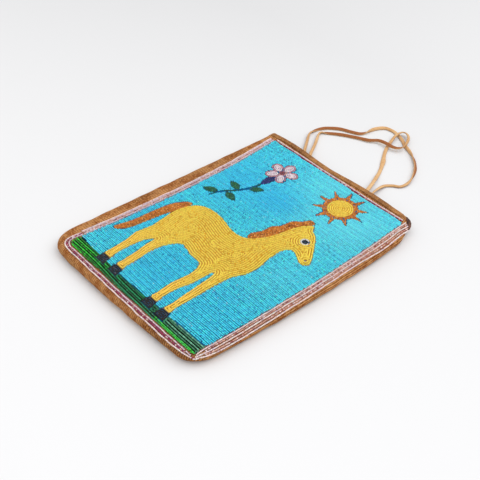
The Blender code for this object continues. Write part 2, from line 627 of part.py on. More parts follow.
def contour_solid(name, loop, spacing=6.0):
    """Return a flat solid whose upper face is ridged along the outline's own inner contours."""
    step = 0.5 * BEAD * STRANDS_PER_CONTOUR
    bottom, top = POUCH_HEIGHT + GAP, POUCH_HEIGHT + GAP + BEAD_LIFT
    if signed_area(loop) < 0:
        loop = loop[::-1]
    plan, heights, edges = [tuple(point) for point in loop], [top - GROOVE] * len(loop), []
    edges += [(index, (index + 1) % len(loop)) for index in range(len(loop))]
    for ring in range(1, 60):
        rings = level_loops(loop, ring * step)
        if not rings:
            break
        for ring_loop in rings:
            if abs(signed_area(ring_loop)) < step * step:
                continue
            ring_points = even_points(ring_loop, spacing, closed=True)
            first = len(plan)
            plan += [tuple(point) for point in ring_points]
            heights += [top if ring % 2 else top - GROOVE] * len(ring_points)
            edges += [(first + index, first + (index + 1) % len(ring_points))
                      for index in range(len(ring_points))]
    outline = [list(range(len(loop)))]
    verts, _, faces, origins, _, _ = delaunay_2d_cdt([Vector(point) for point in plan], edges, outline,
                                                     1, 0.0001)
    bm = bmesh.new()
    upper = []
    for vert, origin in zip(verts, origins):
        height = heights[origin[0]] if origin else top
        upper.append(bm.verts.new((vert.x * MM, vert.y * MM, height * MM)))
    for face in faces:
        bm.faces.new([upper[index] for index in face])
    rim = [edge for edge in bm.edges if edge.is_boundary]
    wall = bmesh.ops.extrude_edge_only(bm, edges=rim)
    lower = [item for item in wall["geom"] if isinstance(item, bmesh.types.BMVert)]
    for vert in lower:
        vert.co.z = bottom * MM
    foot = [item for item in wall["geom"] if isinstance(item, bmesh.types.BMEdge) and item.is_boundary]
    bmesh.ops.contextual_create(bm, geom=foot)
    return mesh_object(name, bm)


def ellipse(centre, along, across, angle_deg, count=16):
    """Return an ellipse's points, its long axis turned by an angle."""
    turn = math.radians(angle_deg)
    angles = np.arange(count) * 2.0 * math.pi / count
    x, y = along * np.cos(angles), across * np.sin(angles)
    return np.stack((centre[0] + x * math.cos(turn) - y * math.sin(turn),
                     centre[1] + x * math.sin(turn) + y * math.cos(turn)), axis=1)


def leaf(base, angle_deg):
    """Return a pointed leaf that grows from its base along an angle."""
    turn = math.radians(angle_deg)
    shares = np.linspace(0.0, 1.0, 8)
    half = 0.5 * LEAF_WIDTH * np.sin(math.pi * shares ** 0.85)
    x = np.concatenate((shares, shares[-2:0:-1])) * LEAF_LENGTH
    y = np.concatenate((half, -half[-2:0:-1]))
    return np.stack((base[0] + x * math.cos(turn) - y * math.sin(turn),
                     base[1] + x * math.sin(turn) + y * math.cos(turn)), axis=1)


def ribbon(points, width):
    """Return the outline of a band of even width along a smooth open path."""
    path = smooth_open(points, 4.0)
    along = np.gradient(path, axis=0)
    along /= np.linalg.norm(along, axis=1)[:, None]
    side = 0.5 * width * np.stack((-along[:, 1], along[:, 0]), axis=1)
    return np.concatenate((path + side, (path - side)[::-1]))


def sun_outline():
    """Return the outline of the sun's ring with its rays."""
    ring = SUN_DISC_RADIUS + SUN_RING_WIDTH
    half_base = math.asin(0.5 * SUN_RAY_WIDTH / ring)
    half_tip = 0.12 * half_base
    step = 2.0 * math.pi / SUN_RAYS
    polar = []
    for ray in range(SUN_RAYS):
        middle = ray * step
        polar += [(middle - half_base, ring), (middle - half_tip, ring + SUN_RAY_LENGTH),
                  (middle + half_tip, ring + SUN_RAY_LENGTH), (middle + half_base, ring)]
        polar.append((middle + 0.5 * step, ring))
    return np.array([(SUN_CENTRE[0] + radius * math.cos(angle), SUN_CENTRE[1] + radius * math.sin(angle))
                     for angle, radius in polar])


def blossom_outline():
    """Return the blossom's lobed outline, a rim wider than its petals."""
    tip = BLOSSOM_HEART + PETAL_GAP + PETAL_LENGTH + PETAL_RIM
    angles = 0.5 * math.pi + np.arange(6 * PETALS) * 2.0 * math.pi / (6 * PETALS)
    lobes = np.abs(np.cos(0.5 * PETALS * (angles - 0.5 * math.pi))) ** 0.55
    radii = PETAL_NOTCH + (tip - PETAL_NOTCH) * lobes
    return np.stack((BLOSSOM_CENTRE[0] + radii * np.cos(angles),
                     BLOSSOM_CENTRE[1] + radii * np.sin(angles)), axis=1)


def petal_outlines():
    """Return the outlines of the blossom's petals."""
    loops = []
    for index in range(PETALS):
        angle = 90.0 + 360.0 * index / PETALS
        reach = BLOSSOM_HEART + 0.5 * PETAL_LENGTH + PETAL_GAP
        centre = (BLOSSOM_CENTRE[0] + reach * math.cos(math.radians(angle)),
                  BLOSSOM_CENTRE[1] + reach * math.sin(math.radians(angle)))
        loops.append(ellipse(centre, 0.5 * PETAL_LENGTH, 0.5 * PETAL_WIDTH, angle, 14))
    return loops


def motif_list():
    """Return every motif in painting order: name, colour, outline and whether its ridges follow it."""
    disc = ellipse(SUN_CENTRE, SUN_DISC_RADIUS, SUN_DISC_RADIUS, 0.0, 24)
    ring = EYE_RADIUS + EYE_RING
    motifs = [("horse_body", "gold", smooth_closed(HORSE_BODY), True),
              ("horse_mane", "amber", smooth_closed(HORSE_MANE), True),
              ("horse_tail", "amber", smooth_closed(HORSE_TAIL), True)]
    motifs += [(f"hoof_{index + 1}", "black", np.array(HOOF) + np.array(top), False)
               for index, top in enumerate(HOOF_TOPS)]
    motifs += [("eye_white", "white", ellipse(EYE_CENTRE, ring, ring, 0.0), False),
               ("eye", "black", ellipse(EYE_CENTRE, EYE_RADIUS, EYE_RADIUS, 0.0, 12), False),
               ("nostril", "black", ellipse(NOSTRIL_CENTRE, NOSTRIL_RADIUS, NOSTRIL_RADIUS, 0.0, 8), False),
               ("sun_rays", "amber", sun_outline(), False),
               ("sun_disc", "gold", disc, True)]
    motifs += [(f"leaf_{index + 1}", "leaf", leaf(base, angle), True)
               for index, (base, angle) in enumerate(LEAVES)]
    motifs += [("flower_stem", "leaf", ribbon(STEM, STEM_WIDTH), False),
               ("calyx", "navy", smooth_closed(CALYX, 3), True)]
    motifs += [("petal_rim", "rose", blossom_outline(), False)]
    motifs += [(f"petal_{index + 1}", "petal", loop, True) for index, loop in enumerate(petal_outlines())]
    motifs += [("blossom_heart", "rose_dark", ellipse(BLOSSOM_CENTRE, BLOSSOM_HEART, BLOSSOM_HEART, 0.0, 12),
                False)]
    return motifs


def build_motifs():
    """Make each motif, cut where a later one lies over it, and return the cutters of all of them."""
    motifs = motif_list()
    top = POUCH_HEIGHT + GAP + BEAD_LIFT
    cutters = []
    for name, _, loop, _ in motifs:
        cutters.append((loop, place_cutter(flat_solid(name + "_cutter", grown(loop, GAP), 0.0, top + 5.0))))
    for position, (name, colour, loop, follows) in enumerate(motifs):
        motif = place(contour_solid(name, loop) if follows else flat_motif(name, loop), colour)
        for later, cutter in cutters[position + 1:]:
            if boxes_meet(later, loop):
                boolean(motif, cutter, "DIFFERENCE")
    return cutters


def flat_motif(name, loop):
    """Return a plain flat solid for a motif only a strand or two wide."""
    bottom, top = POUCH_HEIGHT + GAP, POUCH_HEIGHT + GAP + BEAD_LIFT
    return flat_solid(name, loop, bottom, top)


def boxes_meet(first, second):
    """Return whether the boxes of two loops overlap."""
    margin = 2.0 * GAP
    return bool(np.all(first.min(axis=0) - margin < second.max(axis=0))
                and np.all(second.min(axis=0) - margin < first.max(axis=0)))


def turf_line(x):
    """Return the y of the boundary between the sky ground and the green ground."""
    left, right = FIELD_CORNERS["bottom_left"][0], FIELD_CORNERS["bottom_right"][0]
    share = (x - left) / (right - left)
    return TURF_LEFT_Y + (TURF_RIGHT_Y - TURF_LEFT_Y) * share - TURF_SAG * 4.0 * share * (1.0 - share)


def build_handles():
    """Make the two thong handles, each one length of hide from inside the mouth and back into it."""
    for name, route in (("handle_outer", OUTER_HANDLE), ("handle_inner", INNER_HANDLE)):
        tube(name, smooth_open(route, THONG_POINT_SPACING), THONG_DIAMETER, "thong", 2)


def build_grounds(cutters):
    """Make the sky ground and the green ground, cut out round every motif."""
    top = POUCH_HEIGHT + GAP + BEAD_LIFT
    field = frame_loop(FIELD_CORNERS, FIELD_BOWS, FIELD_RADII)
    field_cutter = place_cutter(flat_solid("field_cutter", field, 0.0, top + 5.0))
    xs = np.linspace(-150.0, 150.0, 25)
    line = np.stack((xs, turf_line(xs)), axis=1)
    above = np.concatenate((line + (0.0, 0.5 * GAP), [(150.0, 200.0), (-150.0, 200.0)]))
    below = np.concatenate((line - (0.0, 0.5 * GAP), [(150.0, -200.0), (-150.0, -200.0)]))
    leg_gaps = {}
    for name, (left, right, upper) in LEG_GAPS.items():
        loop = np.array(((left, FIELD_CORNERS["bottom_left"][1]), (right, FIELD_CORNERS["bottom_left"][1]),
                         (right, upper), (left, upper)))
        leg_gaps[name] = (place_cutter(flat_solid(name + "_region", loop, 0.0, top + 5.0)), loop)
    for name, colour, region in (("sky_ground", "sky", above), ("turf_ground", "turf", below)):
        ground = place(lane_slab(name), colour)
        region_cutter = place_cutter(flat_solid(name + "_region", region, 0.0, top + 5.0))
        boolean(ground, field_cutter, "INTERSECT")
        boolean(ground, region_cutter, "INTERSECT")
        if name == "sky_ground":
            for box, _ in leg_gaps.values():
                boolean(ground, box, "DIFFERENCE")
        for _, cutter in cutters:
            boolean(ground, cutter, "DIFFERENCE")
    for name, (box, loop) in leg_gaps.items():
        gap = place(lane_slab(name), "sky")
        boolean(gap, box, "INTERSECT")
        boolean(gap, bpy.data.objects["sky_ground_region"], "INTERSECT")
        for own, cutter in cutters:
            if boxes_meet(own, loop):
                boolean(gap, cutter, "DIFFERENCE")


def centre_frame():
    """Put the middle of the bag's box, without its handles, over the origin."""
    bpy.context.view_layer.update()
    graph = bpy.context.evaluated_depsgraph_get()
    points = []
    for obj in bag_collection.objects:
        if obj.type != "EMPTY" and not obj.name.startswith("handle"):
            solid = obj.evaluated_get(graph)
            mesh = solid.to_mesh()
            points += [obj.matrix_world @ vert.co for vert in mesh.vertices]
            solid.to_mesh_clear()
    for axis in (0, 1):
        values = [point[axis] for point in points]
        bag_frame.location[axis] = -0.5 * (min(values) + max(values))


clear_scene()
bag_collection = bpy.data.collections.new("beaded_bag")
cutter_collection = bpy.data.collections.new("cutters")
bpy.context.scene.collection.children.link(bag_collection)
bpy.context.scene.collection.children.link(cutter_collection)
bag_frame = bpy.data.objects.new("bag_frame", None)
bag_collection.objects.link(bag_frame)
EDGE = panel_edge()

panel_halves = build_panels()
build_bindings(panel_halves)
build_binding_end()
build_borders()
build_grounds(build_motifs())
build_handles()
centre_frame()
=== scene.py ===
"""Looks of the beaded flat bag: a soft pouch of ribbed cloth, its sewn beads and its hide thongs.

Plan sizes are in millimetres about the middle of the bead field, as the bag was measured. The eye of
the beaded horse, whose middle is known both there and in the frame, ties them to the frame's metres.
"""

import logging
import math
from dataclasses import dataclass, field
from enum import Enum
from typing import Iterable, Sequence

import bmesh
import bpy
import numpy as np
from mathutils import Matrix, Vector


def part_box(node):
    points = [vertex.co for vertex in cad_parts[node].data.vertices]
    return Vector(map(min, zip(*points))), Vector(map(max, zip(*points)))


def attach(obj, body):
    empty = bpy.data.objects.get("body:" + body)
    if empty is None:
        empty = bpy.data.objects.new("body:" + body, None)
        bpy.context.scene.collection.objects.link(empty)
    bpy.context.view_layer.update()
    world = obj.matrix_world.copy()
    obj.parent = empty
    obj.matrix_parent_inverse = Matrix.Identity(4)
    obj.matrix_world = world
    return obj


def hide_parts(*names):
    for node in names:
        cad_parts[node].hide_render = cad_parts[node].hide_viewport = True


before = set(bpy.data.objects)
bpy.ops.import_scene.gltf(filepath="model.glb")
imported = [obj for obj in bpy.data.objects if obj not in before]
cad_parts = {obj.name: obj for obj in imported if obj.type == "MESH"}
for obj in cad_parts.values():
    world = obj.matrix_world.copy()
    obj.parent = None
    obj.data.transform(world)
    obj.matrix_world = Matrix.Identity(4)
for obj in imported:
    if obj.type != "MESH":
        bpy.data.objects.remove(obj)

LOG = logging.getLogger("beaded_bag")
Array = np.ndarray
MM = 0.001
SEED = 41

POUCH_HEIGHT = 12.0
CLOTH = 1.6
HORSE_EYE = (57.0, 37.0)

BEAD_DIAMETER = 1.74
BEAD_LENGTH = 1.34
BEAD_STEP = 1.48
ROW_PITCH = 1.9
TURF_PITCH = 2.5

BLOCK = 1500
DARKEST = 0.002
BRIGHTEST = 0.97
GROUND_BRIGHTEST = 0.95


class Tone(Enum):
    """Colours of beads, cloth and hide as they look in plain light, and tones of painted shade and painted
    highlight, in sRGB from 0 to 255.
    """

    SKY = (68, 225, 255)
    SKY_DEEP = (44, 202, 255)
    SKY_TURQUOISE = (120, 240, 255)
    SKY_PALE = (150, 224, 242)
    SKY_DARK = (8, 130, 190)
    TURF_BRIGHT = (40, 196, 44)
    TURF_BLUE = (20, 146, 88)
    TURF_DARK = (10, 96, 54)
    # Painted highlight: the gloss along the turf's lanes.
    TURF_PALE = (150, 226, 190)
    GOLD = (255, 224, 82)
    GOLD_PALE = (255, 214, 86)
    GOLD_DEEP = (236, 182, 44)
    AMBER = (214, 126, 34)
    AMBER_DEEP = (168, 88, 18)
    AMBER_LIGHT = (236, 170, 78)
    BLACK = (26, 25, 29)
    # Painted glints on black beads.
    GREY = (92, 92, 98)
    WHITE = (238, 235, 230)
    PINK = (240, 216, 214)
    LAVENDER = (216, 192, 208)
    ROSE = (206, 156, 138)
    ROSE_DARK = (152, 74, 78)
    BURGUNDY = (150, 34, 84)
    PETAL = (238, 220, 228)
    PETAL_RIM = (214, 150, 162)
    NAVY = (34, 38, 108)
    NAVY_LIGHT = (66, 74, 160)
    LEAF = (12, 94, 58)
    LEAF_LIGHT = (40, 138, 86)
    CLOTH = (168, 100, 46)
    CLOTH_DARK = (84, 44, 18)
    CLOTH_PALE = (210, 152, 94)
    BINDING = (172, 120, 74)
    # Painted highlight on the dark wrap.
    WRAP = (112, 64, 40)
    WRAP_DARK = (40, 18, 18)
    HIDE = (214, 174, 124)
    HIDE_STAIN = (194, 146, 94)
    HIDE_DARK = (146, 84, 34)
    FLOOR = (231, 231, 232)
    # Painted shade: the floor's darker far side.
    FLOOR_FAR = (211, 211, 212)
    # Painted shade between the beads, tinted with the beads' colour as painted bounce light.
    BED_SKY = (8, 94, 142)
    BED_TURF = (2, 18, 12)
    BED_GOLD = (204, 142, 38)
    BED_AMBER = (104, 52, 12)

    @property
    def linear(self) -> Array:
        """Return the colour in linear light."""
        shares = np.array(self.value, float) / 255.0
        return np.where(shares <= 0.04045, shares / 12.92, ((shares + 0.055) / 1.055) ** 2.4)

    @property
    def rgba(self) -> tuple[float, float, float, float]:
        """Return the colour as a socket takes it."""
        red, green, blue = self.linear
        return float(red), float(green), float(blue), 1.0


def deselect_all() -> None:
    """Leave nothing selected, in object mode."""
    if bpy.context.object is not None and bpy.context.object.mode != "OBJECT":
        bpy.ops.object.mode_set(mode="OBJECT")
    bpy.ops.object.select_all(action="DESELECT")


def select_only(piece: bpy.types.Object) -> None:
    """Make a piece the selected and the active one."""
    deselect_all()
    bpy.context.view_layer.objects.active = piece
    piece.select_set(True)


def face_outwards(piece: bpy.types.Object) -> None:
    """Turn the faces of a closed or folded shape outwards."""
    select_only(piece)
    bpy.ops.object.mode_set(mode="EDIT")
    bpy.ops.mesh.select_all(action="SELECT")
    bpy.ops.mesh.normals_make_consistent(inside=False)
    bpy.ops.object.mode_set(mode="OBJECT")


def give_wall(piece: bpy.types.Object, thickness: float, offset: float) -> None:
    """Make a sheet a wall.

    Args:
        piece: the sheet.
        thickness: the wall's thickness, millimetres.
        offset: -1 for a wall that lies inside the sheet, 0 for one on both its sides.
    """
    select_only(piece)
    wall = piece.modifiers.new("wall", "SOLIDIFY")
    wall.thickness = thickness * MM
    wall.offset = offset
    wall.use_even_offset = False
    bpy.ops.object.modifier_apply(modifier=wall.name)


def new_object(name: str, data: bpy.types.ID) -> bpy.types.Object:
    """Put data in the scene as an object."""
    made = bpy.data.objects.new(name, data)
    bpy.context.scene.collection.objects.link(made)
    return made


def colour_points(piece: bpy.types.Object, name: str, colours: Array) -> None:
    """Write one colour for each point of a piece, in a named attribute."""
    attribute = piece.data.color_attributes.new(name=name, type="FLOAT_COLOR", domain="POINT")
    attribute.data.foreach_set("color", colours.ravel())


def corner_points(piece: bpy.types.Object) -> Array:
    """Return the point number of each corner of a piece's faces."""
    numbers = np.empty(len(piece.data.loops), int)
    piece.data.loops.foreach_get("vertex_index", numbers)
    return numbers


def frame_shift() -> Array:
    """Return the frame's place of the bead field's middle, in millimetres."""
    low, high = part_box("eye")
    return np.array([0.5 * (low[axis] + high[axis]) / MM - HORSE_EYE[axis] for axis in (0, 1)])


SHIFT = frame_shift()


def to_frame(points: Array) -> Array:
    """Return bag points in millimetres as points of the frame in metres.

    Args:
        points: rows of x, y and z, x and y about the bead field's middle.

    Returns:
        The same rows in the frame.
    """
    moved = np.array(points, float)
    moved[:, :2] += SHIFT
    return moved * MM


def mesh_piece(name: str, vertices: Array, faces: Sequence[Sequence[int]]) -> bpy.types.Object:
    """Make an object of bag points and faces.

    Args:
        name: the piece's name.
        vertices: its points, millimetres about the bead field's middle.
        faces: its faces, as point numbers.

    Returns:
        The object, at the origin, with its place in its mesh.
    """
    mesh = bpy.data.meshes.new(name)
    mesh.from_pydata(to_frame(vertices).tolist(), [], faces)
    mesh.update()
    return new_object(name, mesh)


def unit(rows: Array, shortest: float = 0.0) -> Array:
    """Return rows of vectors at length one, except those too short to have a direction."""
    return rows / np.maximum(np.linalg.norm(rows, axis=1), shortest)[:, None]


def loop_ways(loop: Array) -> Array:
    """Return the direction of a closed loop at each of its points."""
    return unit(np.roll(loop, -1, axis=0) - np.roll(loop, 1, axis=0))


def loop_outwards(loop: Array) -> Array:
    """Return the way out of an anticlockwise plan loop at each of its points."""
    along = loop_ways(loop)
    return np.stack((along[:, 1], -along[:, 0]), axis=1)


def path_lengths(path: Array) -> Array:
    """Return how far along an open path each of its points lies."""
    return np.concatenate(([0.0], np.cumsum(np.linalg.norm(np.diff(path, axis=0), axis=1))))


def sampled(rows: Array, places: Array, wanted: Array) -> Array:
    """Return rows between those known at some places.

    Args:
        rows: the known rows.
        places: where they are known, rising.
        wanted: where rows are wanted.

    Returns:
        One row for each wanted place.
    """
    return np.stack([np.interp(wanted, places, column) for column in rows.T], axis=1)


def settle(piece: bpy.types.Object, material: bpy.types.Material, nodes: Iterable[str]) -> None:
    """Dress a finished piece and say what it rides on and stands for.

    Args:
        piece: the piece.
        material: its finish.
        nodes: the CAD nodes that it replaces.
    """
    piece.data.materials.clear()
    piece.data.materials.append(material)
    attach(piece, "root")
    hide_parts(*nodes)
    LOG.info("%s: %d faces", piece.name, len(piece.data.polygons))


def even_points(path: Array, spacing: float) -> Array:
    """Return points at an even spacing along an open path.

    Args:
        path: the path's points, in order.
        spacing: the wanted distance between points.

    Returns:
        The points, the path's ends among them.
    """
    lengths = path_lengths(path)
    count = max(int(round(lengths[-1] / spacing)), 1)
    return sampled(path, lengths, np.linspace(0.0, lengths[-1], count + 1))


def smooth_path(knots: Sequence[Sequence[float]], spacing: float) -> Array:
    """Return points at an even spacing along an open Catmull-Rom curve.

    Args:
        knots: the points that the curve runs through.
        spacing: the distance between the points returned.

    Returns:
        The curve's points.
    """
    points = np.array(knots, float)
    padded = np.concatenate((2 * points[:1] - points[1:2], points, 2 * points[-1:] - points[-2:-1]))
    shares = np.arange(16)[:, None] / 16
    spans = []
    for index in range(1, len(padded) - 2):
        before, start, end, after = padded[index - 1:index + 3]
        spans.append(0.5 * (2 * start + (end - before) * shares
                            + (2 * before - 5 * start + 4 * end - after) * shares ** 2
                            + (3 * start - before - 3 * end + after) * shares ** 3))
    return even_points(np.concatenate(spans + [points[-1:]]), spacing)


def ripple(places: Array, lengths: Sequence[float], seed: int) -> Array:
    """Return a smooth wander between about -1 and 1, the same each run.

    Args:
        places: distances along a line, millimetres.
        lengths: the wander's wave lengths.
        seed: which wander.

    Returns:
        One value for each place.
    """
    random = np.random.default_rng(SEED + seed)
    total = np.zeros(len(places))
    for length in lengths:
        total += np.sin(2.0 * math.pi * (places / length + random.random()))
    return total / len(lengths)


@dataclass(frozen=True)
class Outline:
    """A four-sided outline with bowed sides and rounded corners.

    Corners and radii run foot left, foot right, mouth right, mouth left. Bows run left, foot, right, mouth.
    """

    corners: tuple[tuple[float, float], ...]
    bows: tuple[float, ...]
    radii: tuple[float, ...]

    def parts(self, inset: float = 0.0, samples: int = 40) -> list[Array]:
        """Return the sides and the corners, in turn, running anticlockwise from the mouth's left end.

        Args:
            inset: how far the outline is moved inwards.
            samples: points on each side.

        Returns:
            Left side, foot left corner, foot, foot right corner, right side, and so on.
        """
        points = [np.array(corner, float) for corner in self.corners]
        lines = []
        for index in range(4):
            along = points[index] - points[index - 1]
            along /= np.linalg.norm(along)
            inward = np.array((-along[1], along[0]))
            lines.append((points[index - 1] + inward * inset, along, inward))
        moved = []
        for index in range(4):
            first, second = lines[index], lines[(index + 1) % 4]
            steps = np.linalg.solve(np.array((first[1], -second[1])).T, second[0] - first[0])
            moved.append(first[0] + first[1] * steps[0])
        sides = []
        for index in range(4):
            start, end = moved[index - 1], moved[index]
            length = np.linalg.norm(end - start)
            ends = [max(self.radii[corner] - inset, 1.0) / length for corner in (index - 1, index)]
            shares = np.linspace(ends[0], 1.0 - ends[1], samples)
            bow = 4.0 * shares * (1.0 - shares) * self.bows[index]
            sides.append(start + np.outer(shares, end - start) - np.outer(bow, lines[index][2]))
        parts = []
        shares = np.linspace(0.0, 1.0, 14)[1:-1, None]
        for index in range(4):
            before, after = sides[index][-1], sides[(index + 1) % 4][0]
            parts.append(sides[index])
            parts.append((1 - shares) ** 2 * before + 2 * shares * (1 - shares) * moved[index]
                         + shares ** 2 * after)
        return parts

    def loop(self, inset: float = 0.0) -> Array:
        """Return the whole outline as one closed loop of points a millimetre apart."""
        parts = self.parts(inset)
        return even_points(np.concatenate(parts + [parts[0][:1]]), 1.0)[:-1]


@dataclass(frozen=True)
class PouchForm:
    """The pouch's soft form: a level slab with rolled sides and foot, open at its mouth."""

    outline: Outline = Outline(
        corners=((-124.6, -159.9), (105.4, -147.2), (115.2, 164.2), (-122.9, 170.0)),
        bows=(0.0, 3.3, 6.4, 0.0), radii=(29.6, 25.0, 59.4, 20.0))
    mouth_left: tuple[float, float] = (-120.0, 155.0)
    mouth_slope: float = -0.027
    mouth_wave: float = 1.5
    mouth_wave_length: float = 130.0
    mouth_wave_start: float = -150.0
    roll: float = 0.5 * POUCH_HEIGHT
    edge_wander: float = 0.45
    edge_waves: tuple[int, ...] = (19, 31, 43)
    edge_inset: float = 0.2
    steepest: float = math.radians(84.0)
    calm_reach: float = 14.0

    def mouth_y(self, x: Array) -> Array:
        """Return the y of the mouth's edge at x."""
        turns = (x - self.mouth_wave_start) / self.mouth_wave_length
        wave = self.mouth_wave * (1.0 - np.cos(2.0 * math.pi * turns))
        return self.mouth_left[1] + self.mouth_slope * (x - self.mouth_left[0]) + wave

    def edge(self) -> Array:
        """Return the outline with the small in-and-out wander of a soft, stuffed edge."""
        loop = self.outline.loop()
        waves = [len(loop) / count for count in self.edge_waves]
        wander = self.edge_wander * ripple(np.arange(len(loop)), waves, 3) - self.edge_inset
        return loop + loop_outwards(loop) * wander[:, None]

    def nearest(self, plan: Array) -> tuple[Array, Array]:
        """Return how deep each plan point lies inside the edge, and the way out at its nearest edge point.

        Args:
            plan: points of the plan.

        Returns:
            Depths, above zero inside, and outward directions.
        """
        loop = self.outline.loop()
        outward = loop_outwards(loop)
        found = np.concatenate([
            np.argmin(np.sum((plan[start:start + BLOCK, None] - loop[None]) ** 2, axis=2), axis=1)
            for start in range(0, len(plan), BLOCK)])
        depths = -np.sum((plan - loop[found]) * outward[found], axis=1)
        return depths, outward[found]

    @staticmethod
    def relief(plan: Array) -> Array:
        """Return how far the soft face rises or sinks at each plan point, by broad and narrow waves."""
        x, y = plan[:, 0], plan[:, 1]
        broad = 0.34 * np.sin(x / 33.0 + 0.7) * np.sin(y / 45.0 + 1.3)
        slanted = 0.22 * np.sin(x / 19.0 - y / 26.0)
        narrow = 0.12 * np.sin(x / 11.0 + y / 14.0 + 2.0)
        return broad + slanted + narrow

    def calm(self, depths: Array) -> Array:
        """Return how much of the face's relief is left at depths inside the edge, from 0 to 1."""
        return np.clip(depths / self.calm_reach, 0.0, 1.0)

    def lay(self, plan: Array, lift: float) -> tuple[Array, Array]:
        """Lay plan points on the rolled front.

        Args:
            plan: points of the plan, distances measured along the cloth.
            lift: height above the cloth.

        Returns:
            The points in space and the cloth's outward directions there.
        """
        depths, outward = self.nearest(plan)
        angles = np.clip((self.roll - depths) / self.roll, 0.0, self.steepest)
        back = np.maximum(self.roll - depths - self.roll * np.sin(angles), 0.0)
        reach = (np.sin(angles) * lift - back)[:, None]
        flat = plan + outward * np.where(depths[:, None] < self.roll, reach, 0.0)
        height = self.roll + (self.roll + lift) * np.cos(angles) + self.calm(depths) * self.relief(plan)
        normals = np.concatenate((outward * np.sin(angles)[:, None], np.cos(angles)[:, None]), axis=1)
        return np.concatenate((flat, height[:, None]), axis=1), normals


class Footprint:
    """A plan area, kept as the loose segments of its boundary."""

    def __init__(self, starts: Array, ends: Array) -> None:
        """Take the segments' two ends."""
        self.starts, self.ends = starts, ends
        both = np.concatenate((starts, ends))
        self.low, self.high = both.min(axis=0), both.max(axis=0)

    @classmethod
    def of_loop(cls, loop: Array) -> "Footprint":
        """Return the area inside a closed loop."""
        return cls(loop, np.roll(loop, -1, axis=0))

    @classmethod
    def of_node(cls, node: str) -> "Footprint":
        """Return the area that a CAD piece of beadwork stands on, read from its lowest face.

        Args:
            node: the CAD node's name.

        Returns:
            The area.
        """
        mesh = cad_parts[node].data
        mesh.calc_loop_triangles()
        points = np.array([vert.co for vert in mesh.vertices]) / MM
        points[:, :2] -= SHIFT
        low = points[:, 2].min() + 0.02
        uses: dict[tuple, int] = {}
        for triangle in mesh.loop_triangles:
            corners = [points[index] for index in triangle.vertices]
            if max(corner[2] for corner in corners) < low:
                keys = [(round(float(corner[0]), 3), round(float(corner[1]), 3)) for corner in corners]
                for first, second in zip(keys, keys[1:] + keys[:1]):
                    edge = (min(first, second), max(first, second))
                    uses[edge] = uses.get(edge, 0) + 1
        rim = [edge for edge, count in uses.items() if count == 1]
        return cls(np.array([edge[0] for edge in rim]), np.array([edge[1] for edge in rim]))

    def distance(self, plan: Array) -> Array:
        """Return each plan point's distance to the boundary, above zero inside."""
        starts = range(0, len(plan), BLOCK)
        return np.concatenate([self._block(plan[start:start + BLOCK]) for start in starts])

    def _block(self, plan: Array) -> Array:
        """Return the distances of a few points."""
        along = self.ends - self.starts
        offsets = plan[:, None] - self.starts[None]
        shares = np.clip(np.sum(offsets * along, axis=2) / np.sum(along ** 2, axis=1), 0.0, 1.0)
        nearest = np.sqrt(np.sum((offsets - shares[..., None] * along) ** 2, axis=2).min(axis=1))
        above = (self.starts[:, 1] <= plan[:, None, 1]) != (self.ends[:, 1] <= plan[:, None, 1])
        rise = np.where(along[:, 1] == 0.0, 1.0, along[:, 1])
        crossing = self.starts[:, 0] + along[:, 0] * (plan[:, None, 1] - self.starts[:, 1]) / rise
        inside = np.sum(above & (plan[:, None, 0] < crossing), axis=1) % 2 == 1
        return np.where(inside, nearest, -nearest)

    def grid(self, cell: float) -> tuple[Array, Array]:
        """Return a grid of points over the footprint and their distances.

        Args:
            cell: the grid's spacing.

        Returns:
            Points, columns by rows by 2, and distances, columns by rows.
        """
        xs = np.arange(self.low[0] - cell, self.high[0] + 2 * cell, cell)
        ys = np.arange(self.low[1] - cell, self.high[1] + 2 * cell, cell)
        points = np.stack(np.meshgrid(xs, ys, indexing="ij"), axis=-1)
        return points, self.distance(points.reshape(-1, 2)).reshape(points.shape[:2])


def level_lines(points: Array, distances: Array, level: float) -> list[Array]:
    """Return the lines of a grid where its distances pass a level (marching squares).

    Args:
        points: the grid's points.
        distances: the value at each.
        level: the value wanted.

    Returns:
        Lines of points; a closed one ends where it starts.
    """
    values = distances - level
    cell = points[1, 0, 0] - points[0, 0, 0]
    after: dict[tuple, tuple] = {}
    for i, j in zip(*np.nonzero(np.abs(values[:-1, :-1]) < 2.0 * cell)):
        corners = ((i, j), (i + 1, j), (i + 1, j + 1), (i, j + 1))
        crossings = [(tuple(sorted((first, second))), values[first] > 0.0)
                     for first, second in zip(corners, corners[1:] + corners[:1])
                     if (values[first] > 0.0) != (values[second] > 0.0)]
        if len(crossings) == 2:
            leaving = [edge for edge, leaves in crossings if leaves][0]
            entering = [edge for edge, leaves in crossings if not leaves][0]
            after[entering] = leaving
    firsts = set(after) - set(after.values())
    lines = []
    while after:
        start = firsts.pop() if firsts else next(iter(after))
        chain = [start]
        while chain[-1] in after:
            chain.append(after.pop(chain[-1]))
        line = []
        for first, second in chain:
            share = values[first] / (values[first] - values[second])
            line.append(points[first] + share * (points[second] - points[first]))
        if len(line) > 2:
            lines.append(np.array(line))
    return lines


@dataclass
class Packing:
    """Plan places already taken in one region, kept by cell."""

    size: float = 1.6
    cells: dict[tuple[int, int], list[tuple[float, float]]] = field(default_factory=dict)

    def clear(self, x: float, y: float, gap: float) -> bool:
        """Return whether no place lies closer than a gap."""
        column, row = int(x // self.size), int(y // self.size)
        for i in (column - 1, column, column + 1):
            for j in (row - 1, row, row + 1):
                for other_x, other_y in self.cells.get((i, j), ()):
                    if (other_x - x) ** 2 + (other_y - y) ** 2 < gap * gap:
                        return False
        return True

    def add(self, x: float, y: float) -> None:
        """Take a place."""
        self.cells.setdefault((int(x // self.size), int(y // self.size)), []).append((x, y))


@dataclass
class BeadRun:
    """Beads to be sewn on: plan places, plan directions of their thread and colours."""

    places: Array
    alongs: Array
    colours: Array


